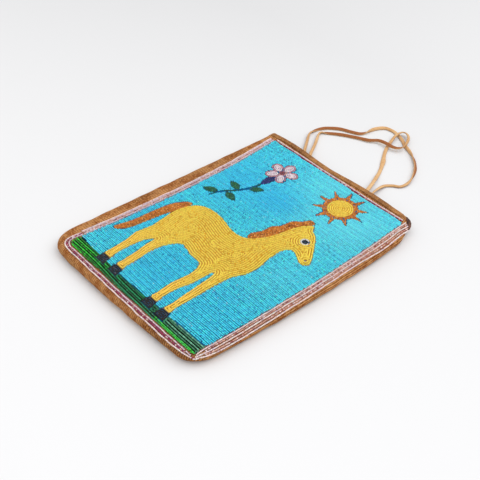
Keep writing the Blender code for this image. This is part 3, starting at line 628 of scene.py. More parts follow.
class BeadModel:
    """One seed bead, modelled once: a short barrel on its thread, which runs along X."""

    sides: int = 6
    end_share: float = 0.58
    middle: float = 0.01

    def __init__(self) -> None:
        """Model the bead and keep its points and faces."""
        deselect_all()
        bpy.ops.mesh.primitive_cylinder_add(
            vertices=self.sides, radius=0.5 * BEAD_DIAMETER * self.end_share, depth=BEAD_LENGTH,
            end_fill_type="NGON", rotation=(0.0, 0.5 * math.pi, 0.0))
        bead = bpy.context.object
        bpy.ops.object.transform_apply(location=True, rotation=True, scale=True)
        self._swell(bead)
        self.points = np.array([vert.co for vert in bead.data.vertices])
        self.faces = [list(face.vertices) for face in bead.data.polygons]
        mesh = bead.data
        bpy.data.objects.remove(bead)
        bpy.data.meshes.remove(mesh)

    def _swell(self, bead: bpy.types.Object) -> None:
        """Give the cylinder a fuller ring at its middle.

        Args:
            bead: the cylinder.
        """
        bpy.ops.object.mode_set(mode="EDIT")
        bpy.ops.mesh.select_all(action="DESELECT")
        bpy.ops.mesh.select_mode(type="EDGE")
        form = bmesh.from_edit_mesh(bead.data)
        for edge in form.edges:
            edge.select_set(edge.verts[0].co.x * edge.verts[1].co.x < 0.0)
        bmesh.update_edit_mesh(bead.data)
        bpy.ops.mesh.subdivide(number_cuts=1)
        bpy.ops.mesh.select_mode(type="VERT")
        bpy.ops.mesh.select_all(action="DESELECT")
        form = bmesh.from_edit_mesh(bead.data)
        for vert in form.verts:
            vert.select_set(abs(vert.co.x) < self.middle)
        bmesh.update_edit_mesh(bead.data)
        bpy.ops.transform.resize(value=(1.0, 1.0 / self.end_share, 1.0 / self.end_share))
        bpy.ops.object.mode_set(mode="OBJECT")


class Needle:
    """Sews runs of beads on the pouch, each bead a copy of the model, a little apart from its fellows."""

    lift: float = 0.5 * BEAD_DIAMETER + 0.02
    place_spread: float = 0.05
    height_spread: float = 0.05
    lean_spread: float = 0.05
    turn_spread: float = 0.10
    size_spread: float = 0.06
    size_limit: float = 0.12
    look_ahead: float = 0.4
    level: float = 0.999

    def __init__(self, form: PouchForm, model: BeadModel) -> None:
        """Take the form to sew on and the bead to sew with."""
        self.form = form
        self.model = model
        self.random = np.random.default_rng(SEED)
        self.sewn = 0

    def _stances(self, run: BeadRun, scale: float) -> tuple[Array, Array]:
        """Find where each bead sits and how it lies.

        Args:
            run: the beads.
            scale: how large they are beside the model.

        Returns:
            Their middles, and their axes: along the thread, across it and up.
        """
        count = len(run.places)
        lift = self.lift * scale
        plan = run.places + self.random.normal(0.0, self.place_spread, (count, 2))
        centres, normals = self.form.lay(plan, lift)
        centres[:, 2] += self.random.normal(0.0, self.height_spread, count)
        ahead, _ = self.form.lay(plan + self.look_ahead * run.alongs, lift)
        ups = unit(normals + self.random.normal(0.0, self.lean_spread, (count, 3)))
        alongs = ahead - centres
        alongs[normals[:, 2] > self.level, 2] = 0.0
        alongs = unit(alongs - ups * np.sum(alongs * ups, axis=1)[:, None])
        turns = self.random.normal(0.0, self.turn_spread, count)[:, None]
        alongs = alongs * np.cos(turns) + np.cross(ups, alongs) * np.sin(turns)
        return centres, np.stack((alongs, np.cross(ups, alongs), ups), axis=1)

    def _bodies(self, count: int, scale: float) -> Array:
        """Return the points of beads about their own middles, each of its own size and roll.

        Args:
            count: how many beads.
            scale: how large they are beside the model.

        Returns:
            Points, beads by points by 3.
        """
        spread = self.random.normal(0.0, self.size_spread, (count, 1, 3))
        sizes = scale * (1.0 + spread.clip(-self.size_limit, self.size_limit))
        rolls = self.random.uniform(0.0, 2.0 * math.pi / self.model.sides, count)[:, None]
        x, y, z = self.model.points.T
        rolled = (np.broadcast_to(x, (count, len(x))), y * np.cos(rolls) - z * np.sin(rolls),
                  y * np.sin(rolls) + z * np.cos(rolls))
        return np.stack(rolled, axis=2) * sizes

    def sew(self, name: str, run: BeadRun, scale: float = 1.0) -> bpy.types.Object:
        """Make one piece of a run of beads.

        Args:
            name: the piece's name.
            run: its beads.
            scale: how large they are beside the model.

        Returns:
            The piece, with each bead's colour in its attribute.
        """
        centres, axes = self._stances(run, scale)
        bodies = self._bodies(len(centres), scale)
        placed = centres[:, None] + np.einsum("nvk,nkc->nvc", bodies, axes)
        count, per_bead = placed.shape[:2]
        faces = [[index + start for index in face]
                 for start in range(0, count * per_bead, per_bead) for face in self.model.faces]
        piece = mesh_piece(name, placed.reshape(-1, 3), faces)
        piece.data.shade_smooth()
        shades = np.ones((count, per_bead, 4))
        shades[..., :3] = run.colours[:, None]
        colour_points(piece, "bead_colour", shades)
        self.sewn += count
        return piece


def mixed(first: Array, second: Array, shares: Array) -> Array:
    """Return colours between two, one for each share."""
    return first * (1.0 - shares[:, None]) + second * shares[:, None]


@dataclass(frozen=True)
class Blend:
    """How the beads of one colour vary: a main tone, and a few strays."""

    main: Tone
    strays: tuple[tuple[Tone, float], ...] = ()
    spread: float = 0.16

    def colours(self, places: Array, random: np.random.Generator) -> Array:
        """Return one colour for each bead.

        Args:
            places: the beads' plan places.
            random: where chance comes from.

        Returns:
            Linear colours.
        """
        colours = np.repeat(self.main.linear[None], len(places), axis=0)
        for tone, share in self.strays:
            pick = random.random(len(places)) < share
            colours[pick] = mixed(colours[pick], tone.linear, random.uniform(0.4, 1.0, int(pick.sum())))
        shades = random.normal(BRIGHTEST, self.spread, (len(places), 1))
        return np.clip(colours * shades, DARKEST, BRIGHTEST)


@dataclass(frozen=True)
class Patch:
    """A soft round patch of another tone on the sky."""

    centre: tuple[float, float]
    radius: float
    tone: Tone
    strength: float


class SkyBlend(Blend):
    """Sky beads: blue, deeper and greener in soft patches, with rows of slightly different lots."""

    patches: tuple[Patch, ...] = (
        Patch((70.0, 95.0), 62.0, Tone.SKY_TURQUOISE, 0.85),
        Patch((5.0, 130.0), 38.0, Tone.SKY_TURQUOISE, 0.6),
        Patch((-70.0, 60.0), 46.0, Tone.SKY_DEEP, 0.6),
        Patch((-12.0, 62.0), 26.0, Tone.SKY_DEEP, 0.8),
        Patch((0.0, -98.0), 42.0, Tone.SKY_DEEP, 0.5),
        Patch((75.0, -95.0), 34.0, Tone.SKY_DEEP, 0.3),
        Patch((-88.0, -60.0), 40.0, Tone.SKY_DEEP, 0.3),
        Patch((80.0, -20.0), 36.0, Tone.SKY_TURQUOISE, 0.35))
    lot_share: float = 0.03

    def colours(self, places: Array, random: np.random.Generator) -> Array:
        """Return one colour for each sky bead, as Blend does."""
        colours = super().colours(places, random)
        for patch in self.patches:
            away = np.linalg.norm(places - np.array(patch.centre), axis=1) / patch.radius
            shares = patch.strength * np.exp(-away ** 2) * random.uniform(0.6, 1.0, len(places))
            colours = mixed(colours, patch.tone.linear, shares)
        rows = np.floor(places[:, 1] / ROW_PITCH)
        lots = (1.0 + self.lot_share * np.sin(rows * 2.4)
                + self.lot_share * np.sin(rows * 0.91 + places[:, 0] / 60.0))
        return np.clip(colours * lots[:, None], DARKEST, GROUND_BRIGHTEST)


class TurfBlend(Blend):
    """Turf beads: bright green at the left, bluer in the middle, dark at the right, where pale lanes are
    painted highlights of the gloss; short of the right end most beads of every other lane are darkened as
    painted shade between lanes.
    """

    place_spread: float = 7.0
    left_end: float = -20.0
    left_reach: float = 45.0
    right_start: float = 25.0
    right_reach: float = 40.0
    painted_highlight_even: float = 0.5
    painted_highlight_odd: float = 0.14
    lane_spread: tuple[float, float] = (0.6, 1.3)
    painted_shade_until: float = 0.4
    painted_shade_share: float = 0.85
    painted_shade_depth: float = 0.35
    foot_top: float = -138.2
    foot_start: float = 45.0
    foot_spread: tuple[float, float] = (0.6, 1.0)

    def colours(self, places: Array, random: np.random.Generator) -> Array:
        """Return one colour for each turf bead, as Blend does."""
        count = len(places)
        x = places[:, 0] + random.normal(0.0, self.place_spread, count)
        left = np.clip((self.left_end - x) / self.left_reach, 0.0, 1.0)
        right = np.clip((x - self.right_start) / self.right_reach, 0.0, 1.0)
        colours = np.repeat(self.main.linear[None], count, axis=0)
        colours = mixed(colours, Tone.TURF_BRIGHT.linear, left)
        colours = mixed(colours, Tone.TURF_DARK.linear, right)
        even = np.floor(places[:, 1] / TURF_PITCH + 0.5).astype(int) % 2 == 0
        # Pale lanes at the right: painted highlights of the beads' gloss, stronger on even lanes.
        lanes = np.where(even, self.painted_highlight_even, self.painted_highlight_odd) * right
        lanes = np.clip(lanes * random.uniform(*self.lane_spread, count), 0.0, 1.0)
        colours = mixed(colours, Tone.TURF_PALE.linear, lanes)
        # Most beads of even lanes short of the right end darkened: painted shade between the lanes.
        dark = (right < self.painted_shade_until) & even & (random.random(count) < self.painted_shade_share)
        colours[dark] *= self.painted_shade_depth
        foot = (places[:, 1] < self.foot_top) & (x > self.foot_start)
        bright = random.uniform(*self.foot_spread, int(foot.sum()))
        colours[foot] = mixed(colours[foot], Tone.TURF_BRIGHT.linear, bright)
        shades = random.normal(1.0, self.spread, (count, 1))
        return np.clip(colours * shades, DARKEST, GROUND_BRIGHTEST)


class HorseBlend(Blend):
    """Golden beads of the horse: paler down the legs."""

    leg_top: float = -70.0
    leg_reach: float = 30.0
    leg_paleness: float = 0.8

    def colours(self, places: Array, random: np.random.Generator) -> Array:
        """Return one colour for each bead, as Blend does."""
        legs = np.clip((self.leg_top - places[:, 1]) / self.leg_reach, 0.0, 1.0) * self.leg_paleness
        return mixed(super().colours(places, random), Tone.GOLD_PALE.linear, legs)


GOLD = HorseBlend(Tone.GOLD, ((Tone.GOLD_DEEP, 0.12),), 0.06)
AMBER = Blend(Tone.AMBER, ((Tone.AMBER_DEEP, 0.3), (Tone.AMBER_LIGHT, 0.22)), 0.12)
# A few black beads mixed towards grey as painted glints.
BLACK = Blend(Tone.BLACK, ((Tone.GREY, 0.12),), 0.2)
LEAF = Blend(Tone.LEAF, ((Tone.LEAF_LIGHT, 0.25), (Tone.TURF_DARK, 0.2)), 0.15)
PETAL = Blend(Tone.PETAL, ((Tone.WHITE, 0.3), (Tone.LAVENDER, 0.25)), 0.06)


@dataclass(frozen=True)
class Motif:
    """One beaded figure: its CAD node, the record's slot and how its beads vary."""

    node: str
    slot: str
    blend: Blend
    pitch: float = ROW_PITCH


MOTIFS = (
    Motif("horse_body", "gold_beads", GOLD, 2.6), Motif("horse_mane", "amber_beads", AMBER, 2.1),
    Motif("horse_tail", "amber_beads", AMBER, 2.1), Motif("sun_disc", "gold_beads", GOLD, 2.4),
    Motif("sun_rays", "amber_beads", AMBER), Motif("eye_white", "white_beads", Blend(Tone.WHITE, (), 0.04)),
    Motif("eye", "black_beads", BLACK), Motif("nostril", "black_beads", BLACK),
    *(Motif(f"hoof_{index}", "black_beads", BLACK) for index in range(1, 5)),
    *(Motif(f"leaf_{index}", "leaf_beads", LEAF) for index in range(1, 5)),
    Motif("flower_stem", "leaf_beads", LEAF),
    Motif("calyx", "navy_beads", Blend(Tone.NAVY, ((Tone.NAVY_LIGHT, 0.12),), 0.15)),
    Motif("petal_rim", "rose_beads", Blend(Tone.PETAL_RIM, ((Tone.ROSE, 0.3),), 0.1)),
    *(Motif(f"petal_{index}", "petal_beads", PETAL) for index in range(1, 6)),
    Motif("blossom_heart", "dark_rose_beads", Blend(Tone.ROSE_DARK, (), 0.15)))


def bead_scale(pitch: float) -> float:
    """Return how large the beads of lanes at a pitch are beside the model."""
    return math.sqrt(pitch / ROW_PITCH)


@dataclass(frozen=True)
class Ground:
    """One colour of ground: its CAD nodes, slot and beads, its lanes' pitch and how full they are."""

    nodes: tuple[str, ...]
    slot: str
    blend: Blend
    pitch: float = ROW_PITCH
    fill: float = 1.0

    @property
    def scale(self) -> float:
        """Return how large its beads are beside the model."""
        return bead_scale(self.pitch) * self.fill


GROUNDS = (
    Ground(("sky_ground", "sky_between_forelegs", "sky_under_belly", "sky_between_hind_legs"), "sky_beads",
           SkyBlend(Tone.SKY, ((Tone.SKY_PALE, 0.015), (Tone.SKY_DARK, 0.05)), 0.17), fill=0.96),
    Ground(("turf_ground",), "turf_beads", TurfBlend(Tone.TURF_BLUE, (), 0.2), TURF_PITCH, 0.86))


class Beadwork:
    """The beaded face: lanes across the grounds, and lanes that follow each figure."""

    edge_gap: float = 0.5
    outer_lane: float = 0.8
    lane_gap: float = 1.25
    filler_gap: float = 1.38
    filler_step: float = 0.6
    thin: float = 1.5
    thin_inset: float = 0.15
    cell: float = 0.9
    fine_cell: float = 0.45
    slope_reach: float = 0.3
    step_spread: float = 0.05
    start_spread: float = 2.0
    shortest_way: float = 1e-6
    most_beads: int = 6000

    field_outline: Outline = Outline(
        corners=((-103.5, -147.5), (99.3, -141.2), (103.0, 138.5), (-105.0, 145.0)),
        bows=(-8.0, 0.8, 3.5, -0.6), radii=(9.0, 4.0, 4.0, 1.5))

    def __init__(self, needle: Needle, finish: "BeadGlass") -> None:
        """Take the needle and the beads' finish."""
        self.needle = needle
        self.finish = finish
        self.random = np.random.default_rng(SEED + 1)

    @staticmethod
    def lane_y(x: Array, row: int, pitch: float) -> Array:
        """Return the y of a ground lane at x."""
        wave = 0.55 * np.sin(x / 29.0 + row * 0.045) + 0.3 * np.sin(x / 13.0 - row * 0.11)
        return row * pitch + wave + 0.14 * math.sin(row * 2.1) + 0.08 * math.sin(row * 5.3)

    def ground_run(self, node: str, ground: Ground) -> BeadRun:
        """String lanes of beads across one ground, and beads along its edge where the lanes leave room.

        Args:
            node: the ground's CAD node.
            ground: its colour and lanes.

        Returns:
            The run.
        """
        region = Footprint.of_node(node)
        scale = ground.scale
        first = int(math.floor(region.low[1] / ground.pitch)) - 1
        last = int(math.ceil(region.high[1] / ground.pitch)) + 1
        columns = int((region.high[0] - region.low[0]) / (BEAD_STEP * scale)) + 4
        places, alongs = [], []
        for row in range(first, last + 1):
            steps = self.random.normal(BEAD_STEP * scale, self.step_spread, columns)
            x = region.low[0] + np.cumsum(steps) - self.random.uniform(0.0, self.start_spread)
            y = self.lane_y(x, row, ground.pitch)
            places.append(np.stack((x, y), axis=1))
            alongs.append(np.stack((np.ones(columns), np.gradient(y, x)), axis=1))
        plan, along = np.concatenate(places), np.concatenate(alongs)
        keep = region.distance(plan) > self.edge_gap * scale
        packing = Packing()
        for x, y in plan[keep]:
            packing.add(x, y)
        chosen, ways = self.lane_beads(region, [self.outer_lane * scale], packing,
                                       self.filler_gap * scale, self.filler_step)
        plan = np.concatenate((plan[keep], np.array(chosen).reshape(-1, 2)))
        along = unit(np.concatenate((along[keep], np.array(ways).reshape(-1, 2))), self.shortest_way)
        return BeadRun(plan, along, ground.blend.colours(plan, self.random))

    def lane_beads(self, region: Footprint, levels: Iterable[float], packing: Packing, gap: float,
                   step: float) -> tuple[list[Array], list[Array]]:
        """Set beads along lines at given distances inside an area's edge, where there is room.

        Args:
            region: the area.
            levels: the lines' distances from its edge.
            packing: the places taken, added to.
            gap: the room that a bead needs.
            step: the spacing at which places are tried.

        Returns:
            The beads' places and their threads' directions.
        """
        points, distances = region.grid(self.cell)
        places, alongs = [], []
        for level in levels:
            for line in level_lines(points, distances, level):
                lane = even_points(line, step)
                if len(lane) < 2:
                    continue
                for place, way in zip(lane, np.gradient(lane, axis=0)):
                    if packing.clear(place[0], place[1], gap):
                        packing.add(place[0], place[1])
                        places.append(place)
                        alongs.append(way)
        return places, alongs

    def figure_run(self, motif: Motif) -> BeadRun:
        """String lanes of beads that follow a figure's own outline, and fill what they leave.

        Args:
            motif: the figure.

        Returns:
            The run.
        """
        region = Footprint.of_node(motif.node)
        scale = bead_scale(motif.pitch)
        deepest = float(region.grid(self.cell)[1].max())
        levels = np.arange(self.outer_lane * scale, deepest, motif.pitch)
        if deepest < self.thin:
            levels = [deepest - self.thin_inset]
        packing = Packing()
        places, alongs = self.lane_beads(region, levels, packing, self.lane_gap * scale, BEAD_STEP * scale)
        self._fill(region, scale, packing, places, alongs)
        plan = np.array(places)
        along = unit(np.array(alongs), self.shortest_way)
        return BeadRun(plan, along, motif.blend.colours(plan, self.random))

    def _fill(self, region: Footprint, scale: float, packing: Packing, places: list[Array],
              alongs: list[Array]) -> None:
        """Add beads in the middle of what the lanes left open.

        Args:
            region: the figure's footprint.
            scale: how large its beads are beside the model.
            packing: the places taken.
            places: the beads so far, added to.
            alongs: their directions, added to.
        """
        points, distances = region.grid(self.fine_cell)
        flat, depth = points.reshape(-1, 2), distances.reshape(-1)
        inside = depth > self.edge_gap
        flat, depth = flat[inside], depth[inside]
        found = []
        for index in np.argsort(-depth):
            x, y = flat[index]
            if packing.clear(x, y, self.filler_gap * scale):
                packing.add(x, y)
                found.append(flat[index])
        if not found:
            return
        added = np.array(found)
        slope = 1e-4 + np.stack([region.distance(added + step) - region.distance(added - step)
                                 for step in self.slope_reach * np.eye(2)], axis=1)
        places.extend(added)
        alongs.extend(np.stack((-slope[:, 1], slope[:, 0]), axis=1))

    def sew_ground(self, ground: Ground) -> None:
        """Sew a ground, in as many pieces as its beads need."""
        for node in ground.nodes:
            run = self.ground_run(node, ground)
            order = np.argsort(run.places[:, 1], kind="stable")
            parts = int(math.ceil(len(order) / self.most_beads))
            for number, part in enumerate(np.array_split(order, parts), 1):
                title = f"{node}_beads" + (f"_{number}" if parts > 1 else "")
                share = BeadRun(run.places[part], run.alongs[part], run.colours[part])
                piece = self.needle.sew(title, share, ground.scale)
                settle(piece, self.finish.material(ground.slot), [node])

    def sew_figures(self) -> None:
        """Sew every figure of the picture."""
        for motif in MOTIFS:
            piece = self.needle.sew(motif.node + "_beads", self.figure_run(motif), bead_scale(motif.pitch))
            settle(piece, self.finish.material(motif.slot), [motif.node])


@dataclass(frozen=True)
class Strand:
    """One strand of the border: its side, its row outwards from the field, its slot and its beads."""

    side: str
    row: int
    slot: str
    blend: Blend


PALE = Blend(Tone.PINK, ((Tone.WHITE, 0.3), (Tone.LAVENDER, 0.2), (Tone.ROSE, 0.06)), 0.07)
LILAC = Blend(Tone.LAVENDER, ((Tone.PINK, 0.35), (Tone.ROSE, 0.15)), 0.08)
DULL_ROSE = Blend(Tone.ROSE, ((Tone.PINK, 0.3), (Tone.ROSE_DARK, 0.25)), 0.14)
WINE = Blend(Tone.BURGUNDY, ((Tone.PINK, 0.12), (Tone.ROSE, 0.25)), 0.18)

PALE_ROW, LILAC_ROW = ("pink_beads", PALE), ("lavender_beads", LILAC)
ROSE_ROW, WINE_ROW = ("rose_beads", DULL_ROSE), ("burgundy_beads", WINE)
ROWS = {
    "left": (LILAC_ROW, ROSE_ROW, LILAC_ROW, PALE_ROW),
    "right": (PALE_ROW, ROSE_ROW, PALE_ROW, ROSE_ROW, PALE_ROW),
    "top": (WINE_ROW, PALE_ROW),
    "bottom": (LILAC_ROW, WINE_ROW, PALE_ROW)}
STRANDS = tuple(Strand(side, row, *beads) for side, rows in ROWS.items() for row, beads in enumerate(rows))


class Border:
    """Strands of beads sewn down round the field, over the start of the pouch's roll."""

    pitch: float = 1.95
    first: float = 1.1
    wrap_y: float = -128.0
    fan: float = 0.22
    fan_span: tuple[float, float] = (45.0, 138.0)
    right_end: tuple[float, float] = (102.6, 140.5)
    tip: tuple[float, float] = (101.0, -142.6)
    tip_reach: float = 9.0
    tip_drop: float = 0.6
    room: float = 1.32
    wander: float = 0.14
    wander_waves: tuple[float, ...] = (37.0, 61.0, 23.0)
    sway: dict[str, float] = {"left": 0.35, "bottom": 0.35, "right": 0.12, "top": 0.0}
    sway_waves: tuple[float, ...] = (16.0, 27.0, 41.0)

    def __init__(self, needle: Needle, finish: "BeadGlass", outline: Outline) -> None:
        """Take the needle, the beads' finish and the field's outline."""
        self.needle = needle
        self.finish = finish
        self.outline = outline
        self.packing = Packing()
        self.random = np.random.default_rng(SEED + 2)

    def parting(self, away: Array) -> Array:
        """Return how far the rows have parted at distances from the tip where they meet, from 0 to 1."""
        return 1.0 - np.exp(-away / self.tip_reach)

    def route(self, strand: Strand) -> Array:
        """Return a strand's path in plan."""
        offset = self.first + strand.row * self.pitch
        left, foot_left, foot, _, _, _, top, _ = self.outline.parts(-offset)
        left = even_points(left, 1.0)
        if strand.side == "left":
            return left[left[:, 1] > self.wrap_y]
        if strand.side == "top":
            return top[::-1]
        if strand.side == "bottom":
            return np.concatenate((left[left[:, 1] <= self.wrap_y], foot_left, self._foot_row(foot)))
        return self._right_row(offset)

    def _foot_row(self, foot: Array) -> Array:
        """Return a foot row, drawn in to the field's edge at the tip."""
        near = self.outline.parts()[2]
        row = even_points(np.concatenate((foot, [(self.tip[0], foot[-1, 1])])), 1.0)
        edge = np.interp(row[:, 0], near[:, 0], near[:, 1])
        spread = self.parting(np.maximum(self.tip[0] - row[:, 0], 0.0))
        row[:, 1] = edge - self.tip_drop + (row[:, 1] - edge) * spread
        return row

    def _right_row(self, offset: float) -> Array:
        """Return a right row, fanned out towards the mouth and drawn in at the tip."""
        base = even_points(np.concatenate(([self.tip], self.outline.parts()[4], [self.right_end])), 1.0)
        share = (base[:, 1] - self.fan_span[0]) / (self.fan_span[1] - self.fan_span[0])
        fan = 1.0 + self.fan * np.sin(math.pi * np.clip(share, 0.0, 1.0)) ** 2
        spread = self.parting(base[:, 1] - self.tip[1])
        return base + np.stack((offset * fan * spread, np.zeros(len(base))), axis=1)

    def swayed(self, strand: Strand, path: Array, ways: Array) -> Array:
        """Return a strand's path with the wander of hand-sewn rows.

        Args:
            strand: the strand.
            path: its even path.
            ways: the path's directions.

        Returns:
            The path, each point moved across its direction.
        """
        places = np.arange(len(path)) * BEAD_STEP
        side = len(strand.side)
        wander = self.wander * ripple(places, self.wander_waves, 10 + strand.row + 7 * side)
        calm = self.parting(np.linalg.norm(path - np.array(self.tip), axis=1))
        wander -= self.sway[strand.side] * calm * (1.0 + ripple(places, self.sway_waves, 60 + side))
        return path + np.stack((-ways[:, 1], ways[:, 0]), axis=1) * wander[:, None]

    def sew(self) -> None:
        """Sew every strand, the outer ones first: an inner one ends where they leave it no room."""
        for strand in sorted(STRANDS, key=lambda strand: -strand.row):
            path = even_points(self.route(strand), BEAD_STEP)
            ways = unit(np.gradient(path, axis=0))
            path = self.swayed(strand, path, ways)
            keep = [self.packing.clear(x, y, self.room) for x, y in path]
            path, ways = path[keep], ways[keep]
            for x, y in path:
                self.packing.add(x, y)
            run = BeadRun(path, ways, strand.blend.colours(path, self.random))
            name = f"border_{strand.side}_beads_{strand.row + 1}"
            node = f"border_{strand.side}_strand_{strand.row + 1}"
            settle(self.needle.sew(name, run), self.finish.material(strand.slot), [node])


class SoftPouch:
    """The pouch of ribbed cloth: one soft shell, rolled at the sides and the foot, open at the mouth."""

    step: float = 2.6
    roll_steps: int = 8
    mouth_points: int = 60
    merge: float = 0.05
    foot_left_way: tuple[float, float] = (0.72, 0.69)
    foot_right_way: tuple[float, float] = (0.72, -0.69)
    ring_depth: float = 5.5
    ring_width: float = 4.5
    ring_start: float = 1.5
    pucker: float = 0.30
    dip: float = 1.1
    dip_place: tuple[float, float] = (80.0, -147.0)
    dip_reach: tuple[float, float] = (9.0, 3.0)
    shade_start: float = 2.0
    # Painted shade and bounce light under each region's beads.
    painted_shades: tuple[tuple[str, Tone], ...] = (
        ("turf_ground", Tone.BED_TURF), ("horse_body", Tone.BED_GOLD), ("horse_mane", Tone.BED_AMBER),
        ("horse_tail", Tone.BED_AMBER), ("sun_disc", Tone.BED_GOLD))

    def __init__(self, form: PouchForm) -> None:
        """Take the form that the shell follows."""
        self.form = form

    def _spread(self, length: float, both: bool) -> Array:
        """Return shares of a length, close together where the cloth rolls.

        Args:
            length: the length, millimetres.
            both: whether both ends roll.

        Returns:
            Shares from 0 to 1.
        """
        roll = self.form.roll * (1.0 - np.cos(np.linspace(0.0, 0.5 * math.pi, self.roll_steps + 1)))
        end = length - self.form.roll if both else length
        count = max(int(round((end - self.form.roll) / self.step)), 2)
        middle = np.linspace(self.form.roll, end, count + 1)[1:]
        steps = np.concatenate((roll, middle, (length - roll[::-1])[1:] if both else []))
        return steps / length

    def plan(self) -> Array:
        """Return the grid of plan points over the pouch, columns by rows by 2."""
        edge = self.form.edge()
        middle_y = float(edge[:, 1].mean())
        low_left = edge[np.argmin(edge @ np.array(self.foot_left_way))]
        low_right = edge[np.argmax(edge @ np.array(self.foot_right_way))]
        below = edge[:, 1] < self.form.mouth_y(edge[:, 0])
        left = edge[below & (edge[:, 0] < low_left[0] + 2.0) & (edge[:, 1] >= low_left[1])
                    & (edge[:, 0] < 0.0)]
        left = left[np.argsort(left[:, 1])]
        right = edge[below & (edge[:, 1] >= low_right[1]) & (edge[:, 0] > 0.0)]
        right = right[np.argsort(right[:, 1])]
        foot = edge[(edge[:, 0] >= low_left[0]) & (edge[:, 0] <= low_right[0]) & (edge[:, 1] < middle_y)]
        foot = foot[np.argsort(foot[:, 0])]
        xs = np.linspace(left[-1, 0], right[-1, 0], self.mouth_points)
        mouth = np.stack((xs, self.form.mouth_y(xs)), axis=1)
        left = np.concatenate(([foot[0]], left[1:], mouth[:1]))
        right = np.concatenate(([foot[-1]], right[1:], mouth[-1:]))
        across = self._spread(float(np.ptp(foot[:, 0])), True)
        up = self._spread(float(np.ptp(left[:, 1])), False)
        return self._patch(left, right, foot, mouth, across, up)

    @staticmethod
    def _patch(left: Array, right: Array, foot: Array, mouth: Array, across: Array, up: Array) -> Array:
        """Fill the space between four boundary lines with a grid.

        Args:
            left: the left boundary, foot to mouth.
            right: the right boundary, foot to mouth.
            foot: the foot, left to right.
            mouth: the mouth, left to right.
            across: shares across the grid.
            up: shares up the grid.

        Returns:
            The grid's points.
        """
        def at(line: Array, shares: Array) -> Array:
            """Return points at shares of a line's length."""
            lengths = path_lengths(line)
            return sampled(line, lengths, shares * lengths[-1])

        lefts, rights, feet, mouths = at(left, up), at(right, up), at(foot, across), at(mouth, across)
        s, t = across[:, None, None], up[None, :, None]
        sides = (1 - s) * lefts[None] + s * rights[None]
        ends = (1 - t) * feet[:, None] + t * mouths[:, None]
        corners = ((1 - s) * (1 - t) * lefts[0] + s * (1 - t) * rights[0] + (1 - s) * t * lefts[-1]
                   + s * t * rights[-1])
        return sides + ends - corners

    def heights(self, plan: Array) -> tuple[Array, Array]:
        """Return the heights of the front and of the back over plan points."""
        depth = np.abs(Footprint.of_loop(self.form.edge()).distance(plan))
        depth[depth < self.merge] = 0.0
        roll = self.form.roll
        lift = np.sqrt(np.maximum(roll ** 2 - (roll - np.clip(depth, 0.0, roll)) ** 2, 0.0))
        x, y = plan[:, 0], plan[:, 1]
        calm = self.form.calm(depth)
        ring = np.exp(-((depth - self.ring_depth) / self.ring_width) ** 2)
        ring *= np.clip(depth / self.ring_start, 0.0, 1.0)
        pucker = np.sin(x / 3.9 + 1.3 * np.sin(y / 31.0)) * np.sin(y / 5.3 + np.sin(x / 23.0))
        pucker *= self.pucker
        sag = 0.25 * calm * (1.0 + np.sin(x / 27.0) * np.sin(y / 33.0))
        front = roll + lift + calm * self.form.relief(plan) + ring * (pucker - 0.1)
        back = roll - lift + np.abs(ring * pucker) * 0.8 + sag
        away = (plan - np.array(self.dip_place)) / np.array(self.dip_reach)
        dip = self.dip * np.exp(-np.sum(away ** 2, axis=1))
        return front - dip * (depth > 0.5), np.maximum(back, 0.0)

    def shade_under_beads(self, sheet: bpy.types.Object, plan: Array, beaded: bool) -> None:
        """Paint shade on the cloth between the beads, tinted with each region's bead colour as painted bounce
        light.

        Args:
            sheet: the sheet.
            plan: its points' plan places, in the sheet's order.
            beaded: whether the sheet is the beaded one.
        """
        # Painted shade under the sky beads, other regions' painted shade over it, fading in from the field's
        # edge.
        shade = np.repeat(np.append(Tone.BED_SKY.linear, 1.0)[None], len(plan), axis=0)
        for node, tone in self.painted_shades:
            shade[Footprint.of_node(node).distance(plan) > 0.0, :3] = tone.linear
        depth = Footprint.of_loop(Beadwork.field_outline.loop()).distance(plan)
        shade[:, 3] = np.clip(depth / self.shade_start, 0.0, 1.0) * beaded
        colour_points(sheet, "painted_shade_under_beads", shade)

    def build(self) -> bpy.types.Object:
        """Model the shell and lay its cloth coordinates.

        Returns:
            The shell, closed, with its wall.
        """
        plan = self.plan()
        columns, rows = plan.shape[:2]
        deselect_all()
        sheets = []
        for name, heights in zip(("front_sheet", "back_sheet"), self.heights(plan.reshape(-1, 2))):
            bpy.ops.mesh.primitive_grid_add(x_subdivisions=columns - 1, y_subdivisions=rows - 1, size=1.0)
            sheet = bpy.context.object
            sheet.name = name
            points = np.concatenate((plan, heights.reshape(columns, rows, 1)), axis=2)
            order = points.transpose(1, 0, 2).reshape(-1, 3)
            sheet.data.vertices.foreach_set("co", to_frame(order).ravel())
            self._lay_threads(sheet, points)
            self.shade_under_beads(sheet, order[:, :2], not sheets)
            sheets.append(sheet)
        sheets[1].data.flip_normals()
        shell = self._join(sheets)
        give_wall(shell, CLOTH, -1.0)
        shell.data.shade_smooth()
        shell.name = "cloth_pouch"
        shell.data.name = "cloth_pouch"
        return shell

    @staticmethod
    def _lay_threads(sheet: bpy.types.Object, points: Array) -> None:
        """Write the cloth's own coordinates: distances along its surface, across the bag and along it.

        Args:
            sheet: the sheet, its points in rows of the grid.
            points: the same points, columns by rows by 3.
        """
        across, up = np.zeros(points.shape[:2]), np.zeros(points.shape[:2])
        across[1:] = np.cumsum(np.linalg.norm(np.diff(points, axis=0), axis=2), axis=0)
        up[:, 1:] = np.cumsum(np.linalg.norm(np.diff(points, axis=1), axis=2), axis=1)
        across -= across[-1:] * 0.5
        threads = np.stack((across.T.ravel(), up.T.ravel()), axis=1) * MM
        layer = sheet.data.uv_layers.active
        layer.name = "threads"
        layer.data.foreach_set("uv", threads[corner_points(sheet)].ravel())

